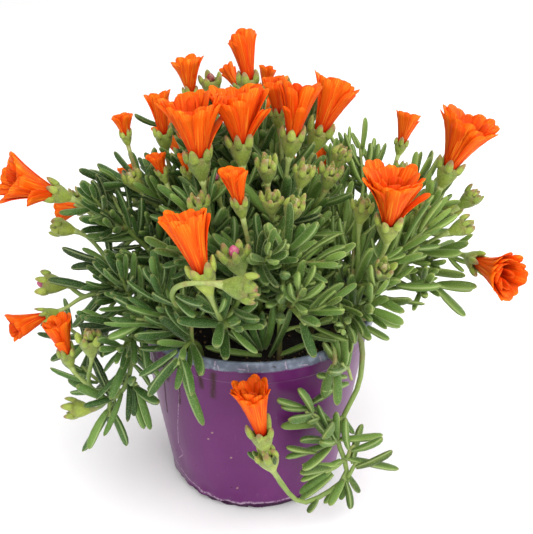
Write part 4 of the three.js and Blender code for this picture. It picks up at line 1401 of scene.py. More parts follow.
# A little pair opening in the angle of each leaf
def sproutAxils(run, owner, plan, draw):
    length = lengthOf(run["track"])
    for node in run["nodes"]:
        place = placeAt(run["track"], length - node["back"])
        for turn in (node["turn"], node["turn"] + math.pi):
            if draw.random() > plan["axilShare"]:
                continue
            outward = swung(place["side"], place["across"], turn)
            axis = swung(place["heading"], outward, plan["axilLean"])
            flank = np.cross(axis, outward)
            spread = unit(flank if draw.random() < plan["axilFlankShare"] else np.cross(flank, axis))
            root = place["point"] + outward * stemPlan["tipRadius"] * plan["axilFoot"]
            for way in (1, -1):
                along = swung(axis, spread * way, plan["axilOpen"])
                leaf = leafOf(root, along, squareTo(axis, along), draw.uniform(*plan["axilLength"]),
                              draw.uniform(*plan["axilWidth"]), plan["axilCurve"], plan["axilYoung"])
                near = nearby(root, leaf["length"] + plan["axilRoom"])
                if leafIsClear(leaf, owner, plan["gap"], near):
                    run["leaves"].append(keepLeaf(leaf, owner))


def shootIsClear(track, plan, solid):
    for distance in [*np.arange(plan["shootBare"], lengthOf(track), plan["shootCheck"]), lengthOf(track)]:
        point = placeAt(track, distance)["point"]
        if not clearOfPot(point, stemPlan["tipRadius"]):
            return False
        centres, radii, _ = nearby(point, plan["shootCheck"])
        away = np.linalg.norm(centres - point, axis=1)
        if (away < radii + stemPlan["tipRadius"] + plan["shootGap"]).any():
            return False
    nearest = np.linalg.norm(crowd["centres"][:solid] - point, axis=1).min()
    return nearest < plan["shootReach"]


# Pairs of leaves from a shoot's tip to its foot, smaller and steeper toward the tip
def shootLeaves(track, owner, plan, draw):
    leaves = []
    back, order = plan["shootFirst"], 0
    while back < lengthOf(track) - plan["shootBare"]:
        node = placeAt(track, lengthOf(track) - back)
        tilt = blendOf(*plan["shootLeafTilt"], min(1, back / plan["shootSpread"]))
        growth = blendOf(plan["shootSmall"], 1, min(1, back / plan["shootFull"]))
        for way in (0, math.pi):
            leaf = placeLeaf(node, math.pi / 2 * order + way, tilt + draw.uniform(*plan["shootLeafSway"]),
                             draw.uniform(*plan["length"]) * growth, draw.uniform(*plan["width"]), owner,
                             plan["gap"], draw.uniform(*plan["shootLeafCurve"]))
            if isWanted(leaf, plan):
                leaf["young"] = max(0, 1 - back / plan["shootYoung"])
                leaves.append(leaf)
        back += plan["shootPairs"]
        order += 1
    return leaves


# Short leafy side shoots that fill the mass out
def sproutShoots(plant, run, plan, draw, solid):
    bareEnd = plan["shootTuft"] if run["end"]["kind"] == "tuft" else leafPlan["bareNeck"]
    distance = plan["shootFoot"] + (stemPlan["rootDepth"] if run["main"] else 0)
    while distance < lengthOf(run["track"]) - bareEnd and not plant["bare"]:
        place = placeAt(run["track"], distance)
        for attempt in range(plan["shootTries"]):
            turn = draw.uniform(0, fullTurn)
            tilt = math.radians(draw.uniform(*plan["shootTilt"]))
            toward = swung(place["heading"], swung(place["side"], place["across"], turn), tilt)
            toward = unit(toward + up * plan["shootLift"])
            goal = place["point"] + toward * draw.uniform(*plan["shootLength"])
            if toward[2] < plan["lowestRise"] or inOpenRoom(goal + toward * plan["shootAhead"], plan):
                continue
            track = trackOf(runThrough([place["point"], goal], place["heading"] + toward * plan["shootSpring"],
                                       toward + up * plan["shootLift"]))
            if shootIsClear(track, plan, solid):
                takeRun(track, plant["owner"])
                plant["shoots"].append({"track": track, "leaves": shootLeaves(track, plant["owner"], plan, draw)})
                break
        distance += plan["shootStep"]


growFiller(fillPlan)
print("leaves in all:", sum(len(run["leaves"]) for plant in stems for run in plant["runs"] + plant["shoots"]))

# The shapes that repeat, each modelled once

leafShape = {
    # keel, flanks and edges of the rounded three-sided section, in half widths
    "section": [(0, -0.94), (0.58, -0.72), (0.9, -0.1), (0.68, 0.42), (0, 0.56), (-0.68, 0.42), (-0.9, -0.1),
                (-0.58, -0.72)],
    "levels": [(0, 0.52), (0.14, 0.72), (0.38, 0.93), (0.62, 0.98), (0.82, 0.9), (0.945, 0.64), (1, 0.24)],
    # a stubbier leaf round a flower's foot
    "sepalLevels": [(0, 0.9), (0.2, 1), (0.42, 0.95), (0.66, 0.8), (0.88, 0.5), (1, 0.16)],
    "skinAngles": [0, 61, 96, 139, 180],
    "skinPlaces": [0, 0.3, 0.5, 0.75, 1],
}

petalShape = {
    "across": 4,
    "steps": 6,
    "thickness": 0.5,
    # share of the length against half width
    "outline": [(0, 0.3), (0.2, 0.46), (0.45, 0.7), (0.7, 0.9), (0.9, 1), (1, 0.9)],
    "roundTip": 0.06,
    "roundPowers": (2.4, 5),
    "curlDrop": 0.35,
    "wrapRoom": 0.6,
}

# share of the height against share of the radius
roundShapes = {
    "heart": (8, [(0, 0.8), (0.25, 1), (0.5, 0.94), (0.75, 0.7), (0.92, 0.4), (1, 0.12)]),
    "stem": (8, [(t, 1) for t in np.linspace(0, 1, 30)]),
    "shoot": (6, [(t, 1) for t in np.linspace(0, 1, 8)]),
    "stamen": (4, [(0, 0.6), (0.75, 0.5), (0.82, 1.2), (1, 0.8)]),
}

cupShape = {
    "sides": 20,
    "levels": [(-0.1, 0.3), (0, 0.4), (0.14, 0.54), (0.3, 0.71), (0.48, 0.86), (0.66, 0.96), (0.84, 1),
               (0.96, 0.97), (1.02, 0.88), (0.98, 0.76), (0.84, 0.64)],
    "ribs": 5,
    "ribDepth": 0.07,
}


def makeLeafMaster(shape, levels):
    form = drawUp(len(shape["section"]), levels, shape["section"])

    def skinOf(places):
        turn = np.degrees(np.arctan2(np.abs(places[:, 0]), places[:, 1]))
        return np.column_stack([np.interp(turn, shape["skinAngles"], shape["skinPlaces"]), places[:, 2]])

    return asArrays(form, skinOf)


def makePetalMaster(shape):
    clearSelection()
    bpy.ops.mesh.primitive_grid_add(x_subdivisions=shape["across"], y_subdivisions=shape["steps"], size=2)
    form = bpy.context.object
    shares, widths = zip(*shape["outline"])
    acrossPower, alongPower = shape["roundPowers"]
    for vertex in form.data.vertices:
        x, t = vertex.co.x, (vertex.co.y + 1) / 2
        rounded = t - shape["roundTip"] * abs(x) ** acrossPower * t ** alongPower
        vertex.co = (x * np.interp(t, shares, widths), 0, rounded)
    modifier = form.modifiers.new("thickness", "SOLIDIFY")
    modifier.thickness = shape["thickness"]
    modifier.offset = 0
    bpy.ops.object.modifier_apply(modifier="thickness")
    return asArrays(form, lambda p: np.column_stack([(p[:, 0] + 1) / 2, p[:, 2]]))


def profileSkin(places):
    return np.column_stack([np.arctan2(places[:, 1], places[:, 0]) / fullTurn + 0.5, places[:, 2]])


# The cup bulges a little under each sepal
def makeCupMaster(shape):
    cup = asArrays(drawUp(shape["sides"], shape["levels"]), profileSkin)
    x, y, height = cup["places"].T
    bulge = 1 + shape["ribDepth"] * np.cos(shape["ribs"] * np.arctan2(y, x)) * np.clip(height, 0, 1)
    cup["places"][:, :2] *= bulge[:, None]
    return cup


masters = {
    "leaf": makeLeafMaster(leafShape, leafShape["levels"]),
    "sepal": makeLeafMaster(leafShape, leafShape["sepalLevels"]),
    "petal": makePetalMaster(petalShape),
    "cup": makeCupMaster(cupShape),
}
for name, (sides, levels) in roundShapes.items():
    masters[name] = asArrays(drawUp(sides, levels), profileSkin)
print("shapes modelled:", ", ".join(masters))


# Points of a shape set into a frame: width across, depth along
def setInto(shape, origin, axes, wide, deep):
    x, y, z = shape["places"].T
    side, across, heading = axes
    return origin + side * (x * wide)[:, None] + across * (y * wide)[:, None] + heading * (z * deep)[:, None]


def bendLeaf(leaf, shape="leaf"):
    x, y, t = masters[shape]["places"].T
    half = leaf["width"] / 2
    side = np.cross(leaf["face"], leaf["along"])
    lean = (2 * leaf["curve"] * t)[:, None]
    normals = (leaf["face"] - leaf["along"] * lean) / np.sqrt(1 + lean * lean)
    sway = side * (leaf["sway"] * leaf["length"] * t * t)[:, None]
    return leafPoints(leaf, t) + sway + side * (x * half)[:, None] + normals * (y * half)[:, None]


def bendTube(shape, track, radii):
    x, y, t = shape["places"].T
    distances = t * lengthOf(track)
    at = {key: np.column_stack([np.interp(distances, track["distances"], track[key][:, i]) for i in range(3)])
          for key in ("points", "headings", "sides")}
    headings = at["headings"] / np.linalg.norm(at["headings"], axis=1)[:, None]
    sides = at["sides"] - headings * (at["sides"] * headings).sum(1)[:, None]
    sides /= np.linalg.norm(sides, axis=1)[:, None]
    across = np.cross(headings, sides)
    radius = np.interp(distances, [d for d, r in radii], [r for d, r in radii])
    return at["points"] + sides * (x * radius)[:, None] + across * (y * radius)[:, None]


# A petal wrapped on its flower's cone; x runs across it and t along it
def bendPetal(petal, axes, origin):
    x, y, t = masters["petal"]["places"].T
    side, across, heading = axes
    flare = petal["flare"]
    radius = petal["foot"] + (petal["mouth"] - petal["foot"]) * (t * (1 - flare) + flare * t ** 3)
    curl = np.clip((t - petal["curlFrom"]) / (1 - petal["curlFrom"]), 0, 1) ** 2
    radius = radius + petal["curl"] * curl + petal["pleat"] * t
    height = petal["low"] + (petal["reach"] - petal["low"]) * t - abs(petal["curl"]) * petalShape["curlDrop"] * curl
    sunk = petal["cup"] * x * x * petal["width"] / 2
    radius = radius + y - sunk + petal["lap"] * x
    wrapped = np.maximum(radius, petal["foot"] + petalShape["wrapRoom"])
    turn = petal["turn"] + x * petal["width"] / 2 / wrapped * petal["wrap"]
    turn = turn + petal["twist"] * t * t
    ring = side * np.cos(turn)[:, None] + across * np.sin(turn)[:, None]
    return origin + ring * radius[:, None] + heading * height[:, None]


def axesOf(heading, helper):
    side = unit(np.cross(helper, heading))
    return side, np.cross(heading, side), heading


# Calyx cups, sepals and buds

cupLook = {
    "sepals": 5,
    "sepalWidth": (4.0, 5.2),
    "sepalLength": (5.5, 8.5),
    "sepalLean": (-4, 10),
    "sepalCurve": (-0.14, 0.1),
    "sepalFoot": (1.8, 0.78),
    "hug": 0.8,
    "budSepalCurve": (0.0, 0.22),
    "budSepalLength": (4.6, 8.0),
    "budSepalLean": (-6, 30),
    "openSepalLean": (14, 42),
    "heartRadius": 2.4,
    "heartHeight": 4.6,
    "innerSepals": 4,
    "innerLength": (3.6, 5.4),
    "innerWidth": (2.4, 3.2),
    "innerLean": (-8, 16),
    "innerFoot": 0.36,
    "innerCurve": 0.1,
    "turnSpread": 0.1,
    "innerSpread": 0.2,
    "hugInset": 3,
    "heartSunk": 0.6,
    "ownTone": 0.5,
    "depthShare": 1.05,
    "openFrom": 0.5,
}

greenSlots = {"leaf": 0, "stem": 1, "cup": 2, "heart": 3}


def growSepal(heap, root, heading, outward, lean, size, curve, tone):
    face = unit(heading * math.sin(lean) - outward * math.cos(lean))
    sepal = leafOf(root, swung(heading, outward, lean), face, *size, curve)
    pour(heap, masters["sepal"], bendLeaf(sepal, "sepal"), greenSlots["cup"], tone, 1)


def growCup(heap, run, look, draw):
    end = run["end"]
    if end["kind"] == "tuft":
        return
    scale, heading = cupScale(end), unit(end["toward"])
    depth, wide = cupPlan["depth"] * scale * look["depthShare"], cupPlan["radius"] * scale
    axes = axesOf(heading, placeAt(run["track"], lengthOf(run["track"]))["side"])
    at = np.array(end["at"], float)
    bud = end["kind"] == "bud"
    opening = bud and end["heart"] > look["openFrom"]
    tone = draw.random()
    cup = setInto(masters["cup"], at - heading * depth, axes, wide, depth)
    pour(heap, masters["cup"], cup, greenSlots["cup"], tone)
    lengths = look["budSepalLength" if bud else "sepalLength"]
    curves = look["budSepalCurve" if bud else "sepalCurve"]
    leans = look["openSepalLean" if opening else "budSepalLean" if bud else "sepalLean"]
    sunk, out = look["sepalFoot"]
    for i in range(look["sepals"]):
        spread = draw.uniform(-look["turnSpread"], look["turnSpread"])
        outward = swung(axes[0], axes[1], fullTurn * i / look["sepals"] + spread)
        lean = math.radians(draw.uniform(*leans))
        if not bud:
            lean += math.atan2(end["wide"] / 2 - look["hugInset"], end["long"]) * look["hug"]
        size = draw.uniform(*lengths) * scale, draw.uniform(*look["sepalWidth"]) * scale
        growSepal(heap, at - heading * sunk * scale + outward * wide * out, heading, outward, lean, size,
                  draw.uniform(*curves), blendOf(tone, draw.random(), look["ownTone"]))
    if bud:
        heart = setInto(masters["heart"], at - heading * look["heartSunk"], axes, look["heartRadius"] * scale,
                        look["heartHeight"] * scale)
        pour(heap, masters["heart"], heart, greenSlots["heart"], draw.random(), end["heart"])
    if bud and not opening:
        for i in range(look["innerSepals"]):
            spread = draw.uniform(-look["innerSpread"], look["innerSpread"])
            outward = swung(axes[0], axes[1], fullTurn * (i + 0.5) / look["innerSepals"] + spread)
            lean = math.radians(draw.uniform(*look["innerLean"]))
            size = draw.uniform(*look["innerLength"]) * scale, draw.uniform(*look["innerWidth"]) * scale
            growSepal(heap, at + outward * wide * look["innerFoot"], heading, outward, lean, size, look["innerCurve"],
                      draw.random())


# Stems and leaves

# radii from the soil up, in mm
stemLook = {
    "foot": 1.5,
    "top": 1.15,
    "neck": 0.95,
    "shootFoot": 1.2,
    "shootTop": 0.8,
    "swell": 2.3,
    "swellLength": 9.0,
    # shares of the length, the neck and the swelling under a cup
    "neckMost": 0.4,
    "taperDone": 0.8,
    "swellMost": 0.7,
    "swellAt": 0.4,
    "swellStart": 1.4,
    "forkHeight": 0.3,
    "shootHeight": 0.8,
}

# how the leaves' colour and set vary; painted light, as from a sun on the right, makes leaves toward the right
# lighter, and young leaves are paler in their own colour
leafMood = {
    "seed": 33,
    "sway": 0.07,
    "tone": (0.48, 0.26),
    "paintedLightFrom": -12.0,
    "paintedLightReach": 130.0,
    "youngPaleShare": 0.45,
    "paintedLightSpread": 0.16,
}


def stemRadii(run):
    length, tuft = lengthOf(run["track"]), run["end"]["kind"] == "tuft"
    foot = stemLook["foot"] if run["main"] else stemLook["top"]
    neckLength = min(stemPlan["neckLength"], length * stemLook["neckMost"])
    radii = [(0, foot), (length - neckLength, blendOf(foot, stemLook["top"], stemLook["taperDone"]))]
    if tuft:
        return radii + [(length, stemLook["shootTop"])]
    scale, neck = cupScale(run["end"]), stemLook["neck"]
    swell = min(stemLook["swellLength"] * scale, neckLength * stemLook["swellMost"])
    return radii + [(length - swell, neck), (length - swell * stemLook["swellAt"], neck * stemLook["swellStart"]),
                    (length, stemLook["swell"] * scale)]


def growFoliage(plant, finishes, draw):
    heap = newHeap()
    height = masters["stem"]["places"][:, 2]
    forked = blendOf(stemLook["forkHeight"], 1, height)
    for run in plant["runs"]:
        pour(heap, masters["stem"], bendTube(masters["stem"], run["track"], stemRadii(run)), greenSlots["stem"],
             draw.random(), height if run["main"] else forked)
        growCup(heap, run, cupLook, draw)
    for shoot in plant["shoots"]:
        radii = [(0, stemLook["shootFoot"]), (lengthOf(shoot["track"]), stemLook["shootTop"])]
        pour(heap, masters["shoot"], bendTube(masters["shoot"], shoot["track"], radii), greenSlots["stem"],
             draw.random(), stemLook["shootHeight"])
    mood = leafMood
    for group in plant["runs"] + plant["shoots"]:
        for leaf in group["leaves"]:
            leaf["sway"] = draw.uniform(-mood["sway"], mood["sway"])
            middle, spread = mood["tone"]
            tone = np.clip(middle + draw.gauss(0, spread), 0, 1)
            # painted light grows toward the right; the young share is the young leaves' own paler colour
            paintedLightAndYoung = (leaf["root"][0] - mood["paintedLightFrom"]) / mood["paintedLightReach"] + mood["youngPaleShare"] * leaf["young"]
            youngAndPaintedLight = np.clip(paintedLightAndYoung + draw.gauss(0, mood["paintedLightSpread"]), 0, 1)
            pour(heap, masters["leaf"], bendLeaf(leaf), greenSlots["leaf"], tone, youngAndPaintedLight)
    settle("foliage_" + plant["name"], heap, finishes, "leaf", "stem_" + plant["name"])


leafLook = {
    "tones": [(0.1, (0.009, 0.028, 0.006)), (0.5, (0.045, 0.115, 0.02)), (0.95, (0.16, 0.28, 0.05))],
    "toneShare": 0.75,
    "cloudScale": 220.0,
    # lighter yellow-green: painted light on right-hand leaves, and the young leaves' own paler colour
    "youngAndPaintedLight": (0.3, 0.42, 0.07, 1),
    # pale along each edge: partly the pale papillae, partly painted highlight where they catch the light
    "edge": (0.56, 0.66, 0.3, 1),
    "granule": (0.34, 0.46, 0.13, 1),
    "tip": (0.26, 0.24, 0.06, 1),
    "foot": (0.2, 0.29, 0.07, 1),
    "roughness": 0.5,
    "gloss": 0.28,
    "sheen": 0.32,
    "sheenTint": (0.72, 0.86, 0.42, 1),
    "sheenRoughness": 0.3,
    # across a leaf, the skin runs from the middle of its upper face over the edge to its keel
    "edgeAt": 0.48,
    "rimBand": (0.32, 0.04),
    "rimPaintedLight": 0.42,
    "leastPaintedLight": 0.3,
    "edgeBand": (0.11, 0.0),
    "edgeShare": 0.4,
    "footBand": (0.2, 0.0),
    "footShare": 0.4,
    "tipBand": (0.94, 1.0),
    "tipShare": 0.35,
    "grain": {"Scale": 1300.0, "Strength": 0.45, "Depth": 0.0004},
    "granuleShare": 0.28,
}


def makeLeafSkin(look):
    material, tree, shader = startMaterial("leafSkin", look["roughness"])
    across, along, _ = ownSkin(tree)
    shade = plus(tree, times(tree, own(tree, "tone"), look["toneShare"]),
                 times(tree, cloudsOf(tree, look["cloudScale"], 3.0), 1 - look["toneShare"]))
    colour = ramp(tree, shade, look["tones"])
    # the lighter green gathers toward the leaf's edges: painted light on leaves toward the right, and the paler
    # colour of young leaves
    fromEdge = awayFrom(tree, across, look["edgeAt"])
    rim = plus(tree, times(tree, within(tree, fromEdge, look, "rim"), look["rimPaintedLight"]), look["leastPaintedLight"])
    colour = mixed(tree, times(tree, own(tree, "mark"), rim), colour, look["youngAndPaintedLight"])
    # a paler foot and tip; the pale edge line is partly the papillae's own colour and partly painted highlight
    for value, name in ((along, "foot"), (fromEdge, "edge"), (along, "tip")):
        colour = mixed(tree, times(tree, within(tree, value, look, name), look[name + "Share"]), colour, look[name])
    tiny = useGroup(tree, grain, **look["grain"])
    colour = mixed(tree, times(tree, tiny["Mask"], look["granuleShare"]), colour, look["granule"])
    dress(tree, shader, colour, tiny["Normal"], Specular_IOR_Level=look["gloss"], Sheen_Weight=look["sheen"],
          Sheen_Tint=look["sheenTint"], Sheen_Roughness=look["sheenRoughness"])
    return material


stemFinish = {
    "roughness": 0.5,
    "greenBand": (0.05, 0.4),
    "paleBand": (0.7, 1.0),
    "patchBand": (0.56, 0.72),
    "patchScale": 90.0,
    "patchShare": 0.5,
    "mottle": {"Scale": 500.0, "Amount": 0.35},
    "grain": {"Scale": 900.0, "Strength": 0.4, "Depth": 0.0004},
    "woody": (0.12, 0.075, 0.04, 1),
    "green": (0.2, 0.29, 0.06, 1),
    "pale": (0.34, 0.42, 0.12, 1),
    "red": (0.3, 0.1, 0.06, 1),
}


def makeStemSkin(look):
    material, tree, shader = startMaterial("stemSkin", look["roughness"])
    height = own(tree, "mark")
    colour = mixed(tree, within(tree, height, look, "green"), look["woody"], look["green"])
    colour = mixed(tree, within(tree, height, look, "pale"), colour, look["pale"])
    patch = within(tree, cloudsOf(tree, look["patchScale"], 4.0), look, "patch")
    colour = mixed(tree, times(tree, patch, look["patchShare"]), colour, look["red"])
    colour = useGroup(tree, mottle, Color=colour, **look["mottle"])["Color"]
    dress(tree, shader, colour, useGroup(tree, grain, **look["grain"])["Normal"])
    return material


cupFinish = {
    "roughness": 0.45,
    "gloss": 0.3,
    "sheen": 0.15,
    "green": (0.15, 0.22, 0.025, 1),
    "pale": (0.38, 0.46, 0.07, 1),
    "deep": (0.09, 0.16, 0.025, 1),
    "bloom": (0.5, 0.56, 0.17, 1),
    "tip": (0.27, 0.11, 0.065, 1),
    "bellyBand": (0.2, 0.8),
    "bellyShare": 0.45,
    "blushBand": (0.52, 0.88),
    "blushScale": 160.0,
    "patchBand": (0.36, 0.54),
    # a cup blushes less than its sepals
    "cupBlush": 0.3,
    "sepalBlush": 0.5,
    "edgeAt": 0.45,
    "edgeBand": (0.12, 0.0),
    "edgeShare": 0.35,
    "mottle": {"Scale": 420.0, "Amount": 0.45},
    "grain": {"Scale": 1100.0, "Strength": 0.45, "Depth": 0.0004},
    "bloomShare": 0.25,
}


def makeCupSkin(look):
    material, tree, shader = startMaterial("calyxSkin", look["roughness"])
    across, along, _ = ownSkin(tree)
    sepal = own(tree, "mark")
    colour = mixed(tree, own(tree, "tone"), look["green"], look["pale"])
    belly = times(tree, within(tree, along, look, "belly"), minus(tree, 1.0, sepal))
    colour = mixed(tree, times(tree, belly, look["bellyShare"]), colour, look["deep"])
    patch = within(tree, cloudsOf(tree, look["blushScale"], 4.0), look, "patch")
    blush = times(tree, within(tree, along, look, "blush"), patch)
    most = plus(tree, times(tree, sepal, look["sepalBlush"]), look["cupBlush"])
    colour = mixed(tree, times(tree, blush, most), colour, look["tip"])
    edge = times(tree, within(tree, awayFrom(tree, across, look["edgeAt"]), look, "edge"), sepal)
    colour = mixed(tree, times(tree, edge, look["edgeShare"]), colour, look["pale"])
    colour = useGroup(tree, mottle, Color=colour, **look["mottle"])["Color"]
    tiny = useGroup(tree, grain, **look["grain"])
    colour = mixed(tree, times(tree, tiny["Mask"], look["bloomShare"]), colour, look["bloom"])
    dress(tree, shader, colour, tiny["Normal"], Specular_IOR_Level=look["gloss"], Sheen_Weight=look["sheen"])
    return material


heartFinish = {
    "roughness": 0.5,
    # from a bud that shows green to one with its dry red tip out
    "tones": [(0.0, (0.36, 0.34, 0.14)), (0.2, (0.3, 0.13, 0.07)), (0.6, (0.5, 0.07, 0.2)),
              (1.0, (0.22, 0.02, 0.03))],
    "streak": (0.55, 0.4, 0.25, 1),
    "streakScale": 700.0,
    "streakBand": (0.45, 0.7),
    "streakShare": 0.5,
    "relief": (0.8, 0.0008),
}


def makeBudHeart(look):
    material, tree, shader = startMaterial("budHeart", look["roughness"])
    streak = cloudsOf(tree, look["streakScale"], 3.0)
    tones = ramp(tree, own(tree, "mark"), look["tones"])
    share = times(tree, within(tree, streak, look, "streak"), look["streakShare"])
    dress(tree, shader, mixed(tree, share, tones, look["streak"]), bumpOf(tree, streak, *look["relief"]))
    return material


greens = [makeLeafSkin(leafLook), makeStemSkin(stemFinish), makeCupSkin(cupFinish), makeBudHeart(heartFinish)]
greenDraw = random.Random(leafMood["seed"])
for plant in stems:
    growFoliage(plant, greens, greenDraw)
print("foliage made")

# Flowers

flowerPlan = {
    "seed": 9,
    "footRadius": 2.0,
    "sunkFoot": 3.4,
    "petalPitch": 5.4,
    "petalOverlap": (1.15, 1.6),
    "rings": [
        # share of the mouth and of the reach, petals against the outer ring, hollow of the side, curl in mm
        {"mouth": (0.94, 1.06), "reach": (0.87, 1.05), "count": 1.0, "flare": 0.3, "curl": (-0.6, 1.2)},
        {"mouth": (0.8, 0.95), "reach": (0.86, 1.04), "count": 0.75, "flare": 0.28, "curl": (-1.0, 0.6)},
        {"mouth": (0.25, 0.74), "reach": (0.7, 0.97), "count": 0.55, "flare": 0.14, "curl": (-1.8, 0.4)},
    ],
    "unevenReach": 0.08,
    "unevenMouth": 0.09,
    "pleat": 0.6,
    "steepHeading": 0.98,
    "fullMouth": 13,
    "leastPitch": 0.7,
    "ringInset": 0.25,
    "ownShade": 0.7,
    "mostReach": 1.05,
    "turnSpread": 0.1,
    "curlFrom": (0.6, 0.8),
    "hollow": (-0.1, 0.2),
    "lap": 0.35,
    "wrap": 0.98,
    "twist": 0.08,
    "smallLong": 15,
    "fewest": 8,
    "ringFewest": 5,
    # some flowers have a gap where the petals are shorter, narrower and lean out
    "splitShare": 0.3,
    "splitWidth": 0.6,
    "splitChange": {"reach": 0.62, "mouth": 1.2, "width": 0.7},
    "splitTurn": 0.2,
    "stamens": 14,
    "stamenLean": (0.05, 0.3),
    "stamenFoot": (0.2, 1.0),
    "stamenWidth": 0.42,
    "stamenLength": (0.25, 0.42),
}


# How much a flower's edge swells toward one side and toward two opposite ones
def sideSwell(turn, amount, phases):
    return 1 + amount * math.cos(turn - phases[0]) + amount * 0.6 * math.cos(2 * (turn - phases[1]))


def petalOf(plan, ring, order, end, turn, count, phases, draw):
    scale, mouth = cupScale(end), end["wide"] / 2
    reach = end["long"] * draw.uniform(*ring["reach"]) * sideSwell(turn, plan["unevenReach"], phases[0])
    share = draw.uniform(*ring["mouth"])
    return {
        "foot": plan["footRadius"] * scale * (1 - plan["ringInset"] * order), "flare": ring["flare"],
        "mouth": mouth * share * sideSwell(turn, plan["unevenMouth"], phases[1]),
        "low": -plan["sunkFoot"] * scale, "reach": min(reach, end["long"] * plan["mostReach"]),
        "width": fullTurn * mouth * share / count * draw.uniform(*plan["petalOverlap"]),
        "turn": turn, "pleat": draw.uniform(-plan["pleat"], plan["pleat"]) * scale,
        "curl": draw.uniform(*ring["curl"]) * scale, "curlFrom": draw.uniform(*plan["curlFrom"]),
        "cup": draw.uniform(*plan["hollow"]), "lap": draw.choice((plan["lap"], -plan["lap"])), "wrap": plan["wrap"],
        "twist": draw.uniform(-plan["twist"], plan["twist"]),
    }


def growFlower(name, end, node, plan, finishes, draw):
    heap = newHeap()
    heading, scale = unit(end["toward"]), cupScale(end)
    axes = axesOf(heading, up if abs(heading[2]) < plan["steepHeading"] else np.array([1.0, 0, 0]))
    origin = np.array(end["at"], float)
    mouth = end["wide"] / 2
    tone = draw.random()
    phases = [[draw.uniform(0, fullTurn) for i in range(2)] for kind in ("reach", "mouth")]
    small = end["long"] < plan["smallLong"]
    splits = draw.random() < plan["splitShare"] and end["long"] > plan["smallLong"]
    split = draw.uniform(0, fullTurn) if splits else None
    pitch = plan["petalPitch"] * blendOf(plan["leastPitch"], 1, min(1, mouth / plan["fullMouth"]))
    outer = max(plan["fewest"], round(fullTurn * mouth / pitch))
    for order, ring in enumerate(plan["rings"][:2 if small else 3]):
        count = max(plan["ringFewest"], round(outer * ring["count"]))
        for i in range(count):
            turn = fullTurn * (i + 0.5 * (order % 2)) / count + draw.uniform(-plan["turnSpread"], plan["turnSpread"])
            petal = petalOf(plan, ring, order, end, turn, count, phases, draw)
            if split is not None and order < 2:
                away = (turn - split + math.pi) % fullTurn - math.pi
                if abs(away) < plan["splitWidth"] / 2:
                    for key, change in plan["splitChange"].items():
                        petal[key] *= change
                    petal["turn"] += plan["splitTurn"] * np.sign(away)
            shade = np.clip(blendOf(tone, draw.random(), plan["ownShade"]), 0, 1)
            pour(heap, masters["petal"], bendPetal(petal, axes, origin), 0, shade, order / 2)
    for i in range(plan["stamens"]):
        turn = draw.uniform(0, looseTurn)
        lean = draw.uniform(*plan["stamenLean"])
        out = swung(axes[0], axes[1], turn)
        stamenAxes = axesOf(swung(heading, out, lean), out)
        root = origin + out * draw.uniform(*plan["stamenFoot"]) * scale
        long = end["long"] * draw.uniform(*plan["stamenLength"])
        pour(heap, masters["stamen"], setInto(masters["stamen"], root, stamenAxes, plan["stamenWidth"], long), 1,
             draw.random())
    settle(name, heap, finishes, "petal", node)


petalLook = {
    # from the throat to the tip
    "tones": [(0.0, (0.45, 0.009, 0.0)), (0.25, (0.66, 0.028, 0.0)), (0.55, (0.82, 0.062, 0.0)),
              (1.0, (0.93, 0.118, 0.0))],
    # pale streaks, and the painted highlight down each petal's middle
    "stripe": (0.98, 0.32, 0.02, 1),
    # deeper red: painted shade in the seams between petals and in the inner whorls, and the own colour of older
    # petals
    "inside": (0.6, 0.018, 0.0, 1),
    "roughness": 0.6,
    "gloss": 0.12,
    "stripesAcross": 12.0,
    "stripesAlong": 1.3,
    "stripeShift": 90.0,
    "stripeBand": (0.5, 0.68),
    "stripeShare": 0.62,
    "fadeBand": (0.1, 0.45),
    # painted highlight: how far the pale reaches from each petal's middle, and how strong it is
    "middleBand": (0.34, 0.02),
    "middleHighlightShare": 0.25,
    # painted shade in the seams between petals and on the inner whorls
    "seamBand": (0.34, 0.5),
    "seamShadeShare": 0.32,
    "innerShadeShare": 0.5,
    "oldBand": (0.75, 0.1),
    "oldShare": 0.3,
    "relief": (0.5, 0.0005),
    "glow": 0.12,
    "glowReach": (0.004, 0.001, 0.0005),
}


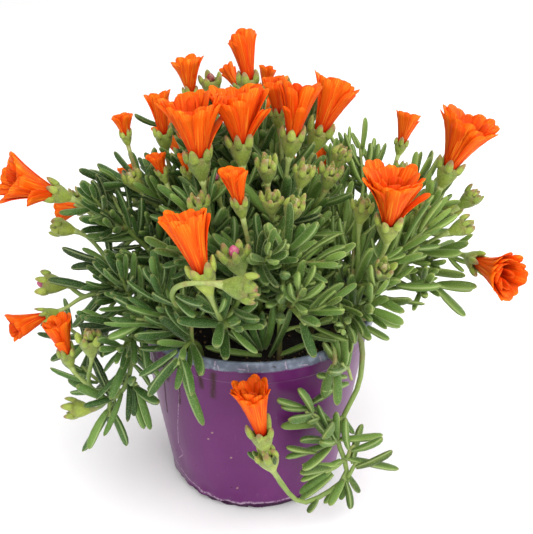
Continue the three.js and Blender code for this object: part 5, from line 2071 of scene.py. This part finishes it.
def makePetalSilk(look):
    material, tree, shader = startMaterial("petalSilk", look["roughness"])
    across, along, _ = ownSkin(tree)
    tone, layer = own(tree, "tone"), own(tree, "mark")
    colour = ramp(tree, along, look["tones"])
    fromMiddle = awayFrom(tree, across, 0.5)
    strip = plus(tree, times(tree, across, look["stripesAcross"]), times(tree, tone, look["stripeShift"]))
    lines = addNode(tree, "ShaderNodeTexNoise", {"noise_dimensions": "2D"}, Scale=1.0, Detail=3.0,
                    Vector=pairOf(tree, strip, times(tree, along, look["stripesAlong"]))).outputs["Fac"]
    # painted highlight down each petal's middle, added to its own pale streaks
    middle = times(tree, within(tree, fromMiddle, look, "middle"), look["middleHighlightShare"])
    pale = times(tree, plus(tree, middle, within(tree, lines, look, "stripe")), within(tree, along, look, "fade"))
    colour = mixed(tree, times(tree, pale, look["stripeShare"], clamp=True), colour, look["stripe"])
    # painted shade deepens the seams between petals and the inner whorls; older petals are deeper in their own colour
    for mask, share in ((within(tree, fromMiddle, look, "seam"), look["seamShadeShare"]), (layer, look["innerShadeShare"]),
                        (within(tree, tone, look, "old"), look["oldShare"])):
        colour = mixed(tree, times(tree, mask, share), colour, look["inside"])
    dress(tree, shader, colour, bumpOf(tree, lines, *look["relief"]), Specular_IOR_Level=look["gloss"],
          Subsurface_Weight=look["glow"], Subsurface_Radius=look["glowReach"], Subsurface_Scale=1.0)
    return material


stamenLook = {
    "roughness": 0.8,
    "stalk": (0.75, 0.3, 0.02, 1),
    "head": (0.9, 0.62, 0.12, 1),
    "headBand": (0.6, 0.8),
    "mottle": {"Scale": 1500.0, "Amount": 0.3},
}


def makeStamenDust(look):
    material, tree, shader = startMaterial("stamenDust", look["roughness"])
    colour = mixed(tree, within(tree, ownSkin(tree)[1], look, "head"), look["stalk"], look["head"])
    dress(tree, shader, useGroup(tree, mottle, Color=colour, **look["mottle"])["Color"])
    return material


oranges = [makePetalSilk(petalLook), makeStamenDust(stamenLook)]
flowerDraw = random.Random(flowerPlan["seed"])
for plant in stems:
    for i, end in enumerate([end for end in plant["ends"] if end["kind"] == "bloom"]):
        suffix = plant["name"] if i == 0 else f"{plant['name']}_{i + 1}"
        growFlower("flower_" + suffix, end, "petals_" + suffix, flowerPlan, oranges, flowerDraw)
print("flowers made")
